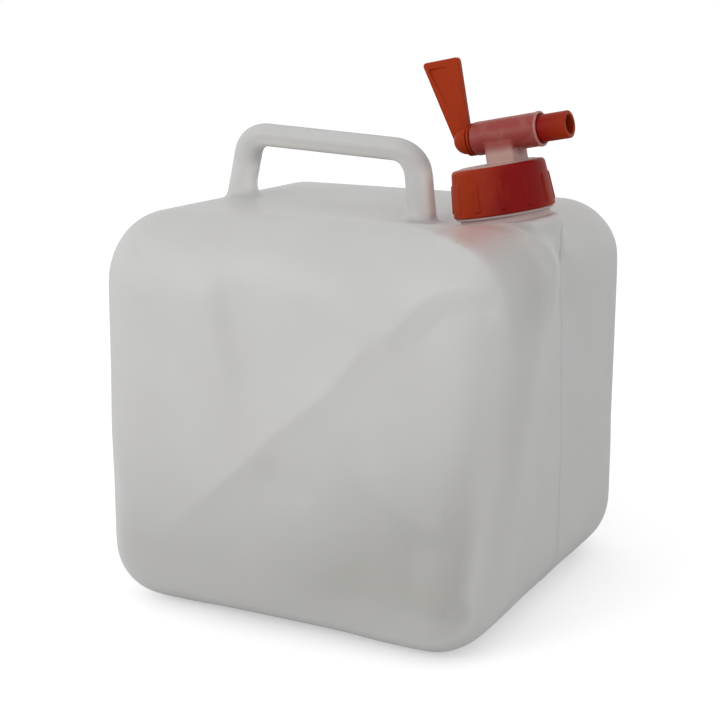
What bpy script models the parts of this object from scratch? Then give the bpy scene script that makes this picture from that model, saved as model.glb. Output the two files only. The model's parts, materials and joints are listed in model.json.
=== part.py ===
# Collapsible water carrier: a soft cube-shaped container with a carrying handle,
# a tilted screw neck, and a tap held on the neck by a screw ring.
# Lengths are in metres. +X runs along the handle to the neck, -Y is the front, +Z is up.
# The container is one blow moulding. It is cut into a stiff base, a folding wall and a
# stiff top, because the wall between them folds when the carrier is pressed flat.
import bpy
import bmesh
from math import cos, pi, radians, sin
from mathutils import Matrix, Vector

mm = 0.001

# Fits shared by all pieces
seat_gap = 0.3 * mm          # between faces that rest on each other
overrun = 2.0 * mm           # how far a cut runs past the face it opens
weld_distance = 0.001 * mm
sharp_angle = radians(50)     # edges sharper than this are shaded as edges
edge_steps = 2               # facets round a small edge

# Container
body_width = 225.0 * mm
body_depth = 227.0 * mm
body_height = 209.4 * mm
wall = 1.3 * mm
top_radius = 34.7 * mm
base_radius = 31.4 * mm
base_straight = 2.6 * mm     # the stiff base goes on this far over its rounding
top_straight = 0.7 * mm      # and the stiff top this far under its own
twist = radians(-7.4)        # the base is turned clockwise under the top
side_steps = 8               # facets along a flat side
corner_steps = 5             # facets round an edge
wall_steps = 8               # facets up the folding wall

# The soft box as it stands: how far each corner is pushed along X, Y and Z
corner_shift_shares = {
    (-1, -1): ((0.003, -0.004), (-0.017, -0.007, 0.012)),
    (-1, 1): ((0.0, 0.0), (0.023, 0.009, 0.013)),
    (1, -1): ((-0.030, -0.002), (0.016, 0.006, 0.0)),
    (1, 1): ((-0.008, -0.003), (0.024, 0.004, -0.012)),
}
frame_shift_x = 0.62 * mm    # puts the middle of the finished carrier on the Z axis
frame_shift_y = -0.4 * mm

# The face beside the neck leans in towards the top
lean_in = 10.0 * mm
lean_reach = 85.0 * mm       # fades out this far from the mould seam
lean_low = 5.0 * mm
lean_high = 160.0 * mm

# The top sags to a shallow valley between the handle and the neck
valley_depth = 10.8 * mm
valley_reach = 95.0 * mm     # fades out this far from the mould seam
valley_gap = 25.4 * mm       # from the neck's middle back to the valley's lowest line
valley_run_left_share = 0.58   # of the body's width
valley_run_right = 60.0 * mm

# The base stands on four flat corner pads, and arches up between them
base_arch = 1.3 * mm
pad_inner_share = 0.27       # of the half width, where the arch ends
pad_outer_share = 0.53       # of the half width, where the pad is flat

# Soft creases: start and end as shares of half the width and of the height,
# then height and half width of the crease as shares of the body's width
front_crease_shares = (
    ((-0.79, 0.19), (-0.25, 0.44), 0.018, 0.10),
    ((-0.25, 0.44), (0.51, 0.87), 0.018, 0.10),
    ((-0.38, 0.88), (-0.27, 0.49), -0.014, 0.07),
    ((0.28, 0.62), (0.60, 0.58), -0.016, 0.13),
    ((0.50, 0.36), (0.62, 0.14), -0.012, 0.08),
    ((-0.60, 0.72), (-0.55, 0.55), 0.008, 0.12),
)
right_crease_shares = (
    ((-0.45, 0.30), (0.35, 0.62), 0.010, 0.14),
    ((0.45, 0.80), (0.60, 0.30), -0.010, 0.11),
)
back_crease_shares = (
    ((-0.55, 0.78), (0.55, 0.24), 0.014, 0.12),
    ((0.25, 0.80), (0.55, 0.62), -0.012, 0.11),
)
left_crease_shares = (
    ((-0.50, 0.25), (0.45, 0.72), 0.007, 0.12),
    ((-0.35, 0.75), (-0.20, 0.50), -0.010, 0.10),
)

# Neck, in its own frame: h runs up its tilted axis from the ring's lower edge
neck_inset = 41.6 * mm       # neck's middle to the right side
neck_lift = -1.3 * mm        # ring's lower edge over the top of the body
neck_lean = radians(10.3)    # leans back to the handle
neck_length = 20.5 * mm      # from the shoulder to the rim
neck_radius = 21.5 * mm
neck_wall = 1.8 * mm
ring_gap = 3.0 * mm          # shoulder to ring
bead_height = 1.2 * mm
bead_width = 3.4 * mm
shoulder_radius = 30.0 * mm
shoulder_round = 1.6 * mm
pedestal_foot_lift = 2.1 * mm  # over the stiff top's lower edge
pedestal_flare = 6.0 * mm
neck_bore_share = 0.33       # of the pedestal's height, how far down the neck is bored
pedestal_inset = 0.6 * mm    # keeps the pedestal's side just inside the leaning face
thread_pitch = 4.5 * mm
thread_height = 1.6 * mm
thread_root = 2.6 * mm
thread_crest = 1.2 * mm
thread_clearance = 0.5 * mm
thread_start = 6.4 * mm
thread_turns = 1.5
thread_bury = 0.5 * mm
thread_phase_share = 0.5     # of a facet, so that the ridge's corners miss the neck's
thread_fade_turns = 0.25     # the ridge runs out over this part of a turn
turn_steps = 32

# Seal
gasket_thickness = 2.0 * mm
gasket_overhang = 1.1 * mm   # past the neck's wall, inwards

# Screw ring
ring_skirt = 3.2 * mm        # from the bore to the outside at the lower edge
ring_taper = 2.3 * mm        # how much narrower the ring is at the top
ring_lip = 2.0 * mm
ring_lip_width = 3.0 * mm    # how far the lip reaches in over the flange
ring_round = 1.8 * mm
rib_count = 12
rib_turn = radians(3.1)      # the ring stands as far round as it was screwed on
rib_height = 0.6 * mm
rib_start = 2.2 * mm
rib_end = 6.0 * mm
rib_slope = 0.5 * mm
rib_side_share = 0.25        # of one facet, how much a rib's foot is narrower than its gap

# Tap body
flange_thickness = 2.0 * mm
flange_play = 0.4 * mm       # flange to the ring's bore
boss_play = 0.35 * mm        # raised disc to the ring's hole
boss_proud = 0.7 * mm        # raised disc over the ring's top
tap_turn = radians(-11.5)    # the spout points a little to the front
block_offset = 6.0 * mm      # stem block beside the neck's axis, towards the spout
block_length = 16.6 * mm
block_depth = 18.0 * mm
block_top = 11.6 * mm        # over the ring's top
block_round = 1.2 * mm
block_corner_steps = 2
barrel_lift = 14.7 * mm      # barrel's axis over the ring's top
barrel_radius = 8.8 * mm
barrel_left = 12.7 * mm
barrel_right = 28.0 * mm
barrel_wall = 1.3 * mm
barrel_round = 0.8 * mm
duct_radius = 4.2 * mm
duct_steps = 14

# Plug with lever and spout, turning in the barrel
plug_play = 0.3 * mm
plug_wall = 2.2 * mm
spout_length = 15.3 * mm     # past the barrel
knob_radius = 7.0 * mm
knob_length = 6.2 * mm       # straight part, before its round end
knob_end_steps = 5
knob_end_share = 0.7         # how far the round end stands out, of the knob's radius
collar_count = 2
collar_height = 0.7 * mm
collar_width = 1.0 * mm
collar_space = 0.9 * mm
lever_reach = 43.4 * mm      # from the barrel's axis
lever_top_width = 21.2 * mm
lever_base_width = 9.4 * mm
lever_thickness = 4.2 * mm
lever_round = 2.6 * mm
lever_rim = 1.7 * mm
lever_recess = 0.9 * mm
lever_panel_start = 13.0 * mm
lever_corner_steps = 4
panel_round_share = 0.6      # how much tighter the panel's corners are than its margin
round_steps = 28

# Handle
post_width = 15.2 * mm
post_depth = 15.0 * mm
bar_height = 12.0 * mm
bar_depth = 17.0 * mm
foot_width = 20.0 * mm
foot_height = 7.0 * mm
foot_sink = 5.0 * mm
foot_middle_share = 0.48     # of the foot's and post's summed width, at half its height
foot_depth_power = 0.5       # the foot widens less from front to back than across
left_foot_inset = 31.6 * mm  # post's middle to the left side
left_lean = 7.2 * mm
left_rise = 35.9 * mm        # middle of the bar's left end over the body
right_lean = 4.0 * mm
right_rise = 28.5 * mm
post_clearance = 10.4 * mm   # right post to screw ring
handle_bend_left = 11.0 * mm
handle_bend_right = 15.0 * mm
handle_sides = 12
bend_steps = 5

# Worked out from the sizes above
half_width = body_width / 2
half_depth = body_depth / 2
base_height = base_radius + base_straight
top_depth = top_radius + top_straight
top_start = body_height - top_depth
neck_x = half_width - neck_inset
neck_z = body_height + neck_lift
pedestal_height = neck_z - top_start - pedestal_foot_lift
neck_rim = neck_length - ring_gap
ring_bore = neck_radius + thread_height + thread_clearance
ring_hole = ring_bore - ring_lip_width
ring_radius = ring_bore + ring_skirt
ring_ceiling = neck_rim + gasket_thickness + flange_thickness + 3 * seat_gap
ring_height = ring_ceiling + ring_lip
gasket_outer = ring_bore - flange_play
gasket_inner = neck_radius - neck_wall - gasket_overhang
gasket_low = neck_rim + seat_gap
flange_low = gasket_low + gasket_thickness + seat_gap
barrel_height = ring_height + barrel_lift
barrel_bore = barrel_radius - barrel_wall
plug_radius = barrel_bore - plug_play
spout_bore = plug_radius - plug_wall
valley_x = neck_x - valley_gap
bead_low = -2 * bead_height  # the bead stands just under the ring's lower edge


def clear_scene():
    for old in list(bpy.data.objects):
        bpy.data.objects.remove(old, do_unlink=True)


def material(name, colour, roughness):
    made = bpy.data.materials.new(name)
    made.use_nodes = True
    shader = made.node_tree.nodes["Principled BSDF"]
    shader.inputs["Base Color"].default_value = (*colour, 1.0)
    shader.inputs["Roughness"].default_value = roughness
    shader.inputs["Metallic"].default_value = 0.0
    return made


def smooth(share):
    share = min(max(share, 0.0), 1.0)
    return share * share * (3 - 2 * share)


def add_object(name, mesh, parent, paint=None):
    if paint:
        mesh.materials.append(paint)
    made = bpy.data.objects.new(name, mesh)
    bpy.context.scene.collection.objects.link(made)
    made.parent = parent
    mesh.shade_smooth()
    mesh.set_sharp_from_angle(angle=sharp_angle)
    return made


def add_empty(name, parent, place):
    made = bpy.data.objects.new(name, None)
    bpy.context.scene.collection.objects.link(made)
    made.parent = parent
    made.matrix_local = place
    return made


def finish_mesh(name, work):
    bmesh.ops.remove_doubles(work, verts=work.verts, dist=weld_distance)
    bmesh.ops.dissolve_degenerate(work, edges=work.edges, dist=weld_distance)
    bmesh.ops.triangulate(work, faces=work.faces)
    bmesh.ops.recalc_face_normals(work, faces=work.faces)
    mesh = bpy.data.meshes.new(name)
    work.to_mesh(mesh)
    work.free()
    return mesh


def combine(target, tool, operation):
    step = target.modifiers.new(tool.name, "BOOLEAN")
    step.operation = operation
    step.solver = "EXACT"
    step.object = tool
    tool.hide_render = True
    tool.display_type = "WIRE"


# Bridges a list of rings with the same number of points, and closes both ends
def loft(name, rings, closed=False):
    work = bmesh.new()
    loops = [[work.verts.new(point) for point in ring] for ring in rings]
    pairs = list(zip(loops, loops[1:]))
    if closed:
        pairs.append((loops[-1], loops[0]))
    for low, high in pairs:
        count = len(low)
        for i in range(count):
            j = (i + 1) % count
            work.faces.new((low[i], low[j], high[j], high[i]))
    if not closed:
        work.faces.new(list(reversed(loops[0])))
        work.faces.new(loops[-1])
    return finish_mesh(name, work)


# Turns a profile of (radius, height) pairs, listed up the outside, about Z
def turned(name, profile, steps, hollow=False):
    rings = []
    for radius, height in profile:
        turns = [2 * pi * i / steps for i in range(steps)]
        rings.append([Vector((radius * cos(a), radius * sin(a), height)) for a in turns])
    return loft(name, rings, closed=hollow)


# Profile of a small round edge at the top of an outside
def round_edge(radius, height, rounding):
    angles = [pi / 2 * i / edge_steps for i in range(edge_steps + 1)]
    return [(radius - rounding * (1 - cos(a)), height - rounding * (1 - sin(a))) for a in angles]


def lay_along_x(mesh, height):
    mesh.transform(Matrix.Translation((0, 0, height)) @ Matrix.Rotation(pi / 2, 4, "Y"))
    return mesh


def stand_at(mesh, x):
    mesh.transform(Matrix.Translation((x, 0, 0)))
    return mesh


# One level of the box: points and outward directions round a rounded rectangle
def level_ring(half_x, half_y, corner):
    ring = []
    for out_x, out_y in ((1, 0), (0, 1), (-1, 0), (0, -1)):
        out, along = Vector((out_x, out_y, 0)), Vector((-out_y, out_x, 0))
        reach, run = (half_x, half_y - corner) if out_x else (half_y, half_x - corner)
        for i in range(side_steps):
            ring.append((out * reach + along * run * (2 * i / side_steps - 1), out))
        centre = out * (reach - corner) + along * run
        for i in range(corner_steps):
            angle = pi / 2 * i / corner_steps
            turned_out = out * cos(angle) + along * sin(angle)
            ring.append((centre + turned_out * corner, turned_out))
    return ring


def side_level(z):
    share = (z - base_radius) / (body_height - top_radius - base_radius)
    corner = base_radius + (top_radius - base_radius) * min(max(share, 0.0), 1.0)
    ring = level_ring(half_width, half_depth, corner)
    return [(Vector((p.x, p.y, z)), out) for p, out in ring]


def rounded_levels(radius, centre_z, direction):
    levels = []
    for i in range(1, corner_steps + 1):
        angle = pi / 2 * i / corner_steps
        drawn_in = radius * (1 - cos(angle))
        corner = max(radius - drawn_in, 0.0)
        ring = level_ring(half_width - drawn_in, half_depth - drawn_in, corner)
        z = centre_z + direction * radius * sin(angle)
        up = Vector((0, 0, direction))
        levels.append([(Vector((p.x, p.y, z)), out * cos(angle) + up * sin(angle))
                       for p, out in ring])
    return levels


def crease_push(creases, across, up):
    push = 0.0
    for start, end, height, width in creases:
        a = Vector((start[0] * half_width, start[1] * body_height))
        b = Vector((end[0] * half_width, end[1] * body_height))
        point = Vector((across, up))
        share = min(max((point - a).dot(b - a) / (b - a).length_squared, 0.0), 1.0)
        away = (point - a - (b - a) * share).length / (width * body_width)
        push += height * body_width * (1 - smooth(away))
    return push


# Where the soft container has moved to, for a point of the true box
def soft_shift(point, out):
    x, y, z = point
    share_x = min(max(x / half_width, -1.0), 1.0)
    share_y = min(max(y / half_depth, -1.0), 1.0)
    share_z = z / body_height
    top_share = smooth((z - top_start) / top_depth)
    angle = twist * (1 - share_z)
    moved = Vector((x * cos(angle) - y * sin(angle), x * sin(angle) + y * cos(angle), z))
    for (side_x, side_y), (low, high) in corner_shift_shares.items():
        weight = (1 + side_x * share_x) * (1 + side_y * share_y) / 4 * body_width
        moved.x += weight * (low[0] * (1 - share_z) + high[0] * share_z)
        moved.y += weight * (low[1] * (1 - share_z) + high[1] * share_z)
        moved.z += weight * high[2] * top_share
    beside = 1 - smooth(abs(y) / lean_reach)
    rise = smooth((z - lean_low) / (lean_high - lean_low))
    moved.x -= lean_in * beside * rise * smooth(2 * share_x - 1)
    run = (x - valley_x) / valley_run_right if x > valley_x \
        else (valley_x - x) / (valley_run_left_share * body_width)
    moved.z -= valley_depth * max(1 - run, 0.0) * (1 - smooth(abs(y) / valley_reach)) * top_share
    pad_x = smooth((abs(share_x) - pad_inner_share) / (pad_outer_share - pad_inner_share))
    pad_y = smooth((abs(share_y) - pad_inner_share) / (pad_outer_share - pad_inner_share))
    moved.z += base_arch * (1 - pad_x * pad_y) * max(1 - z / base_height, 0.0) ** 2
    push = crease_push(front_crease_shares, x, z) * max(-out.y, 0.0) ** 2
    push += crease_push(back_crease_shares, -x, z) * max(out.y, 0.0) ** 2
    push += crease_push(right_crease_shares, y, z) * max(out.x, 0.0) ** 2
    push += crease_push(left_crease_shares, -y, z) * max(-out.x, 0.0) ** 2
    moved += out * push
    return moved - Vector(point)


# Fills the flat end of the box with a grid that meets the last level's points
def end_grid(work, last, inset):
    per_side = side_steps + corner_steps
    grid = {}
    n = side_steps
    for i in range(n + 1):
        for side, key in enumerate(((n, i), (n - i, n), (0, n - i), (i, 0))):
            if i < n:
                grid[key] = last[1][side * per_side + i]
    first, out = last[0][0]
    reach_x, reach_y = first.x, abs(last[0][per_side][0].y)
    for i in range(1, n):
        for j in range(1, n):
            point = Vector((reach_x * (2 * i / n - 1), reach_y * (2 * j / n - 1), first.z))
            grid[(i, j)] = work.verts.new(point - out * inset + soft_shift(point, out))
    for i in range(n):
        for j in range(n):
            corners = ((i, j), (i + 1, j), (i + 1, j + 1), (i, j + 1))
            work.faces.new([grid[corner] for corner in corners])


# A closed solid of the box between two levels, drawn in by the inset
def body_zone(name, levels, inset, low_end, high_end):
    work = bmesh.new()
    loops = []
    for level in levels:
        loops.append([work.verts.new(point - out * inset + soft_shift(point, out))
                      for point, out in level])
    for low, high in zip(loops, loops[1:]):
        count = len(low)
        for i in range(count):
            j = (i + 1) % count
            work.faces.new((low[i], low[j], high[j], high[i]))
    for closed, index in ((low_end, 0), (high_end, -1)):
        if closed == "grid":
            end_grid(work, (levels[index], loops[index]), inset)
        else:
            work.faces.new(loops[index])
    return finish_mesh(name, work)


def base_levels(top_z):
    levels = list(reversed(rounded_levels(base_radius, base_radius, -1)))
    return levels + [side_level(base_radius), side_level(top_z)]


def top_levels(bottom_z):
    centre_z = body_height - top_radius
    return [side_level(bottom_z), side_level(centre_z)] + rounded_levels(top_radius, centre_z, 1)


def wall_levels(low_z, high_z):
    return [side_level(low_z + (high_z - low_z) * i / wall_steps) for i in range(wall_steps + 1)]


def hollowed(name, outer, inner, paint, frame):
    made = add_object(name, outer, frame, paint)
    cavity = add_object(name + "_cavity", inner, frame)
    combine(made, cavity, "DIFFERENCE")
    return made


def container_base(paint, frame):
    outer = body_zone("container_base", base_levels(base_height), 0, "grid", "flat")
    inner = body_zone("base_cavity", base_levels(base_height + overrun), wall, "grid", "flat")
    return hollowed("container_base", outer, inner, paint, frame)


def container_wall(paint, frame):
    low, high = base_height + seat_gap, top_start - seat_gap
    outer = body_zone("container_wall", wall_levels(low, high), 0, "flat", "flat")
    inner = body_zone("wall_cavity", wall_levels(low - overrun, high + overrun), wall, "flat", "flat")
    return hollowed("container_wall", outer, inner, paint, frame)


# The pedestal under the neck: a tilted round shoulder that widens down into the body
def pedestal(name, inset, depth, neck_place):
    to_body = neck_place.inverted()
    right_edge = half_width - lean_in - pedestal_inset
    foot_radius = shoulder_radius + pedestal_flare
    foot_x = right_edge - foot_radius
    foot_z = top_start + pedestal_foot_lift
    rings = []
    turns = [2 * pi * i / turn_steps for i in range(turn_steps)]
    foot = foot_radius - inset
    rings.append([to_body @ Vector((foot_x + foot * cos(a), foot * sin(a), foot_z)) for a in turns])
    for radius, h in round_edge(shoulder_radius - inset, -ring_gap - depth, shoulder_round):
        rings.append([Vector((radius * cos(a), radius * sin(a), h)) for a in turns])
    return loft(name, rings)


# A helical ridge: negative reach makes it stand inwards
def thread_ridge(name, root_radius, crest_radius, start):
    rings = []
    steps = int(thread_turns * turn_steps)
    bury = thread_bury if root_radius < crest_radius else -thread_bury
    sunk_radius = root_radius - bury / 2
    for i in range(steps + 1):
        angle = 2 * pi * (i + thread_phase_share) / turn_steps
        h = start + thread_pitch * i / turn_steps
        fade = smooth(min(i, steps - i) / (thread_fade_turns * turn_steps))
        crest = sunk_radius + (crest_radius - sunk_radius) * fade
        side = Vector((cos(angle), sin(angle), 0))
        up = Vector((0, 0, 1))
        rings.append([side * (root_radius - bury) + up * (h - thread_root / 2),
                      side * crest + up * (h - thread_crest / 2),
                      side * crest + up * (h + thread_crest / 2),
                      side * (root_radius - bury) + up * (h + thread_root / 2)])
    return loft(name, rings)


def top_surface_drop(x):
    point = Vector((x, 0, body_height))
    return soft_shift(point, Vector((0, 0, 1))).z


# Middle line of the handle with its bends, each point with its half width and half depth
def handle_sections():
    left_x = -half_width + left_foot_inset
    right_x = neck_x - ring_radius - post_clearance - post_width / 2
    feet = [Vector((left_x, 0, body_height + top_surface_drop(left_x))),
            Vector((right_x, 0, body_height + top_surface_drop(right_x)))]
    corners = [Vector((left_x + left_lean, 0, body_height + left_rise)),
               Vector((right_x - right_lean, 0, body_height + right_rise))]
    sections = []

    def post(foot, corner):
        direction = (corner - foot).normalized()
        middle_width = (foot_width + post_width) * foot_middle_share
        stops = ((-foot_sink, foot_width), (0, foot_width),
                 (foot_height / 2, middle_width), (foot_height, post_width))
        made = []
        for rise, width in stops:
            depth = post_depth * (width / post_width) ** foot_depth_power
            made.append((foot + direction * rise, direction, width / 2, depth / 2))
        return made

    def bend(before, corner, after, radius, first, last):
        way_in = (corner - before).normalized()
        way_out = (after - corner).normalized()
        turn = way_in.angle(way_out)
        back = radius * sin(turn / 2) / cos(turn / 2)
        pivot = way_in.cross(way_out).normalized()
        start = corner - way_in * back
        centre = start + pivot.cross(way_in) * radius
        made = []
        for i in range(bend_steps + 1):
            spin = Matrix.Rotation(turn * i / bend_steps, 3, pivot)
            mix = smooth(i / bend_steps)
            size = [a + (b - a) * mix for a, b in zip(first, last)]
            made.append((centre + spin @ (start - centre), spin @ way_in, *size))
        return made

    post_size = (post_width / 2, post_depth / 2)
    bar_size = (bar_height / 2, bar_depth / 2)
    sections += post(feet[0], corners[0])
    sections += bend(feet[0], corners[0], corners[1], handle_bend_left, post_size, bar_size)
    sections += bend(corners[0], corners[1], feet[1], handle_bend_right, bar_size, post_size)
    sections += [(p, -d, w, depth) for p, d, w, depth in reversed(post(feet[1], corners[1]))]
    return sections


def handle_mesh():
    rings = []
    back = Vector((0, 1, 0))
    turns = [2 * pi * i / handle_sides for i in range(handle_sides)]
    for point, direction, half_across, half_deep in handle_sections():
        across = back.cross(direction).normalized()
        rings.append([point + across * half_across * cos(a) + back * half_deep * sin(a) for a in turns])
    return loft("handle", rings)


def container_top(paint, frame, neck_axis, neck_place):
    outer = body_zone("container_top", top_levels(top_start), 0, "flat", "grid")
    made = add_object("container_top", outer, frame, paint)
    bead_radius, bead_high = neck_radius + bead_width, bead_low + bead_height
    tube = ((neck_radius, -ring_gap - shoulder_round), (neck_radius, bead_low),
            (bead_radius, bead_low), (bead_radius, bead_high), (neck_radius, bead_high),
            (neck_radius, neck_rim))
    thread_radius = neck_radius + thread_height
    cavity = body_zone("top_cavity", top_levels(top_start - overrun), wall, "flat", "grid")
    bore_radius = neck_radius - neck_wall
    bore_low = -ring_gap - pedestal_height * neck_bore_share
    bore = ((bore_radius, bore_low), (bore_radius, neck_rim + overrun))
    pieces = (
        (pedestal("pedestal", 0, 0, neck_place), neck_axis, "UNION"),
        (turned("neck_tube", tube, turn_steps), neck_axis, "UNION"),
        (thread_ridge("neck_thread", neck_radius, thread_radius, thread_start), neck_axis, "UNION"),
        (handle_mesh(), frame, "UNION"),
        (cavity, frame, "DIFFERENCE"),
        (pedestal("pedestal_cavity", wall, wall, neck_place), neck_axis, "DIFFERENCE"),
        (turned("neck_bore", bore, turn_steps), neck_axis, "DIFFERENCE"),
    )
    for mesh, parent, operation in pieces:
        combine(made, add_object(mesh.name, mesh, parent), operation)


def neck_gasket(paint, neck_axis):
    profile = ((gasket_outer, gasket_low), (gasket_outer, gasket_low + gasket_thickness),
               (gasket_inner, gasket_low + gasket_thickness), (gasket_inner, gasket_low))
    mesh = turned("neck_gasket", profile, turn_steps, hollow=True)
    add_object("neck_gasket", mesh, neck_axis, paint)


# The ring's outside is a cone with upright ribs; each rib takes two of its four steps
def screw_ring(paint, neck_axis):
    steps = rib_count * 4

    def outside(h):
        return ring_radius - ring_taper * h / ring_height

    def ring(radius, h, rib=0.0):
        points = []
        for i in range(steps):
            side = rib_side_share if i % 2 == 0 else -rib_side_share
            angle = 2 * pi * (i + side) / steps + rib_turn
            reach = radius + (rib if i % 4 in (1, 2) else 0.0)
            points.append(Vector((reach * cos(angle), reach * sin(angle), h)))
        return points

    top = ring_height
    rings = [
        ring(ring_bore, 0), ring(outside(0), 0), ring(outside(rib_start), rib_start),
        ring(outside(rib_start + rib_slope), rib_start + rib_slope, rib_height),
        ring(outside(top - rib_end), top - rib_end, rib_height),
    ]
    rings += [ring(radius, h) for radius, h in round_edge(outside(top), top, ring_round)]
    rings += [ring(ring_hole, top), ring(ring_hole, ring_ceiling), ring(ring_bore, ring_ceiling)]
    made = add_object("screw_ring", loft("screw_ring", rings, closed=True), neck_axis, paint)
    crest = neck_radius + thread_clearance
    ridge = thread_ridge("ring_thread", ring_bore, crest, thread_start - thread_pitch / 2)
    combine(made, add_object("ring_thread", ridge, neck_axis), "UNION")


def rounded_block(name, length, depth, low, high, edge):
    outline = []
    for side_x, side_y, start in ((1, -1, -pi / 2), (1, 1, 0), (-1, 1, pi / 2), (-1, -1, pi)):
        for i in range(block_corner_steps + 1):
            angle = start + pi / 2 * i / block_corner_steps
            outline.append((side_x * (length / 2 - edge) + edge * cos(angle),
                            side_y * (depth / 2 - edge) + edge * sin(angle)))
    rings = [[Vector((x, y, z)) for x, y in outline] for z in (low, high)]
    return loft(name, rings)


def tap_body(paint, tap_axis):
    boss = ring_hole - boss_play
    flange_top = flange_low + flange_thickness
    disc = [(gasket_outer, flange_low), (gasket_outer, flange_top), (boss, flange_top)]
    disc += round_edge(boss, ring_height + boss_proud, boss_proud)
    barrel_outline = (
        (barrel_radius - barrel_round, -barrel_left), (barrel_radius, -barrel_left + barrel_round),
        (barrel_radius, barrel_right - barrel_round), (barrel_radius - barrel_round, barrel_right))
    bore_outline = ((barrel_bore, -barrel_left - overrun), (barrel_bore, barrel_right + overrun))
    duct_outline = ((duct_radius, flange_low - overrun), (duct_radius, barrel_height))
    block_low, block_high = flange_low + flange_thickness / 2, ring_height + block_top
    block = rounded_block("stem_block", block_length, block_depth, block_low, block_high, block_round)
    pieces = (
        (stand_at(block, block_offset), "UNION"),
        (lay_along_x(turned("barrel", barrel_outline, round_steps), barrel_height), "UNION"),
        (lay_along_x(turned("barrel_bore", bore_outline, round_steps), barrel_height), "DIFFERENCE"),
        (stand_at(turned("duct", duct_outline, duct_steps), block_offset), "DIFFERENCE"),
    )
    made = add_object("tap_body", turned("tap_body", disc, turn_steps), tap_axis, paint)
    for mesh, operation in pieces:
        combine(made, add_object(mesh.name, mesh, tap_axis), operation)


# The lever's outline stands square to the barrel on its inner edge and flares on the other
def lever_plate(name, margin, low, thickness):
    inner = -barrel_left - plug_play - margin
    top = lever_reach - margin
    outer_top = -barrel_left - plug_play - lever_top_width + margin
    outer_base = -barrel_left - plug_play - lever_base_width + margin
    radius = lever_round - margin * panel_round_share
    corners = ((inner, low, 0), (inner, top, radius), (outer_top, top, radius), (outer_base, low, 0))
    outline = []
    places = [Vector((x, 0, z)) for x, z, _ in corners]
    for index, here in enumerate(places):
        rounding = corners[index][2]
        before, after = places[index - 1], places[(index + 1) % len(places)]
        start = here + (before - here).normalized() * rounding
        end = here + (after - here).normalized() * rounding
        for i in range(lever_corner_steps + 1):
            t = i / lever_corner_steps
            outline.append(start * (1 - t) ** 2 + here * 2 * t * (1 - t) + end * t ** 2)
    half = Vector((0, thickness / 2, 0))
    return loft(name, [[point - half for point in outline], [point + half for point in outline]])


def lever_plug(paint, lever_axis):
    knob_start = -barrel_left - plug_play
    profile = [(plug_radius, barrel_right + spout_length), (plug_radius, knob_start)]
    x = knob_start
    for _ in range(collar_count):
        profile += [(knob_radius + collar_height, x), (knob_radius + collar_height, x - collar_width),
                    (knob_radius, x - collar_width), (knob_radius, x - collar_width - collar_space)]
        x -= collar_width + collar_space
    end = knob_start - knob_length
    for i in range(knob_end_steps):
        angle = pi / 2 * i / knob_end_steps
        reach = knob_radius * knob_end_share * sin(angle)
        profile.append((knob_radius * cos(angle), end - reach))
    bore_outline = ((spout_bore, -barrel_left + plug_wall),
                    (spout_bore, barrel_right + spout_length + overrun))
    port_reach = plug_radius + overrun
    port = turned("plug_port", ((duct_radius, -port_reach), (duct_radius, port_reach)), duct_steps)
    port.transform(Matrix.Translation((block_offset, 0, 0)) @ Matrix.Rotation(pi / 2, 4, "X"))
    pieces = [
        (lever_plate("lever_plate", 0, 0, lever_thickness), "UNION"),
        (lay_along_x(turned("spout_bore", bore_outline, round_steps), 0), "DIFFERENCE"),
        (port, "DIFFERENCE"),
    ]
    for side in (-1, 1):
        panel = lever_plate("lever_panel", lever_rim, lever_panel_start, lever_recess * 2)
        panel.transform(Matrix.Translation((0, side * lever_thickness / 2, 0)))
        pieces.append((panel, "DIFFERENCE"))
    plug = lay_along_x(turned("lever_plug", profile, round_steps), 0)
    made = add_object("lever_plug", plug, lever_axis, paint)
    for mesh, operation in pieces:
        combine(made, add_object(mesh.name, mesh, lever_axis), operation)


def report(label, empty, direction):
    place = empty.matrix_world
    point = tuple(round(value, 6) for value in place.translation)
    along = tuple(round(value, 6) for value in place.to_3x3() @ direction)
    print(label, "point", point, "direction", along)


def build():
    clear_scene()
    ldpe = material("natural_polyethylene", (0.56, 0.56, 0.54), 0.45)
    clear = material("clear_polypropylene", (0.45, 0.27, 0.24), 0.35)
    orange = material("orange_polyethylene", (0.33, 0.035, 0.012), 0.4)
    rubber = material("seal_foam", (0.75, 0.75, 0.72), 0.7)

    frame = add_empty("frame", None, Matrix.Translation((frame_shift_x, frame_shift_y, 0)))
    neck_place = Matrix.Translation((neck_x, 0, neck_z)) @ Matrix.Rotation(-neck_lean, 4, "Y")
    neck_axis = add_empty("neck_axis", frame, neck_place)
    tap_axis = add_empty("tap_axis", neck_axis, Matrix.Rotation(tap_turn, 4, "Z"))
    lever_axis = add_empty("lever_axis", tap_axis, Matrix.Translation((0, 0, barrel_height)))

    container_base(ldpe, frame)
    container_wall(ldpe, frame)
    container_top(ldpe, frame, neck_axis, neck_place)
    neck_gasket(rubber, neck_axis)
    screw_ring(orange, neck_axis)
    tap_body(clear, tap_axis)
    lever_plug(orange, lever_axis)
    bpy.context.view_layer.update()

    report("neck axis", neck_axis, Vector((0, 0, 1)))
    report("lever axis", lever_axis, Vector((1, 0, 0)))


build()
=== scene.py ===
import json
import math

import bmesh
import bpy
import numpy as np
from mathutils import Matrix, Vector
from mathutils.bvhtree import BVHTree


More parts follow.
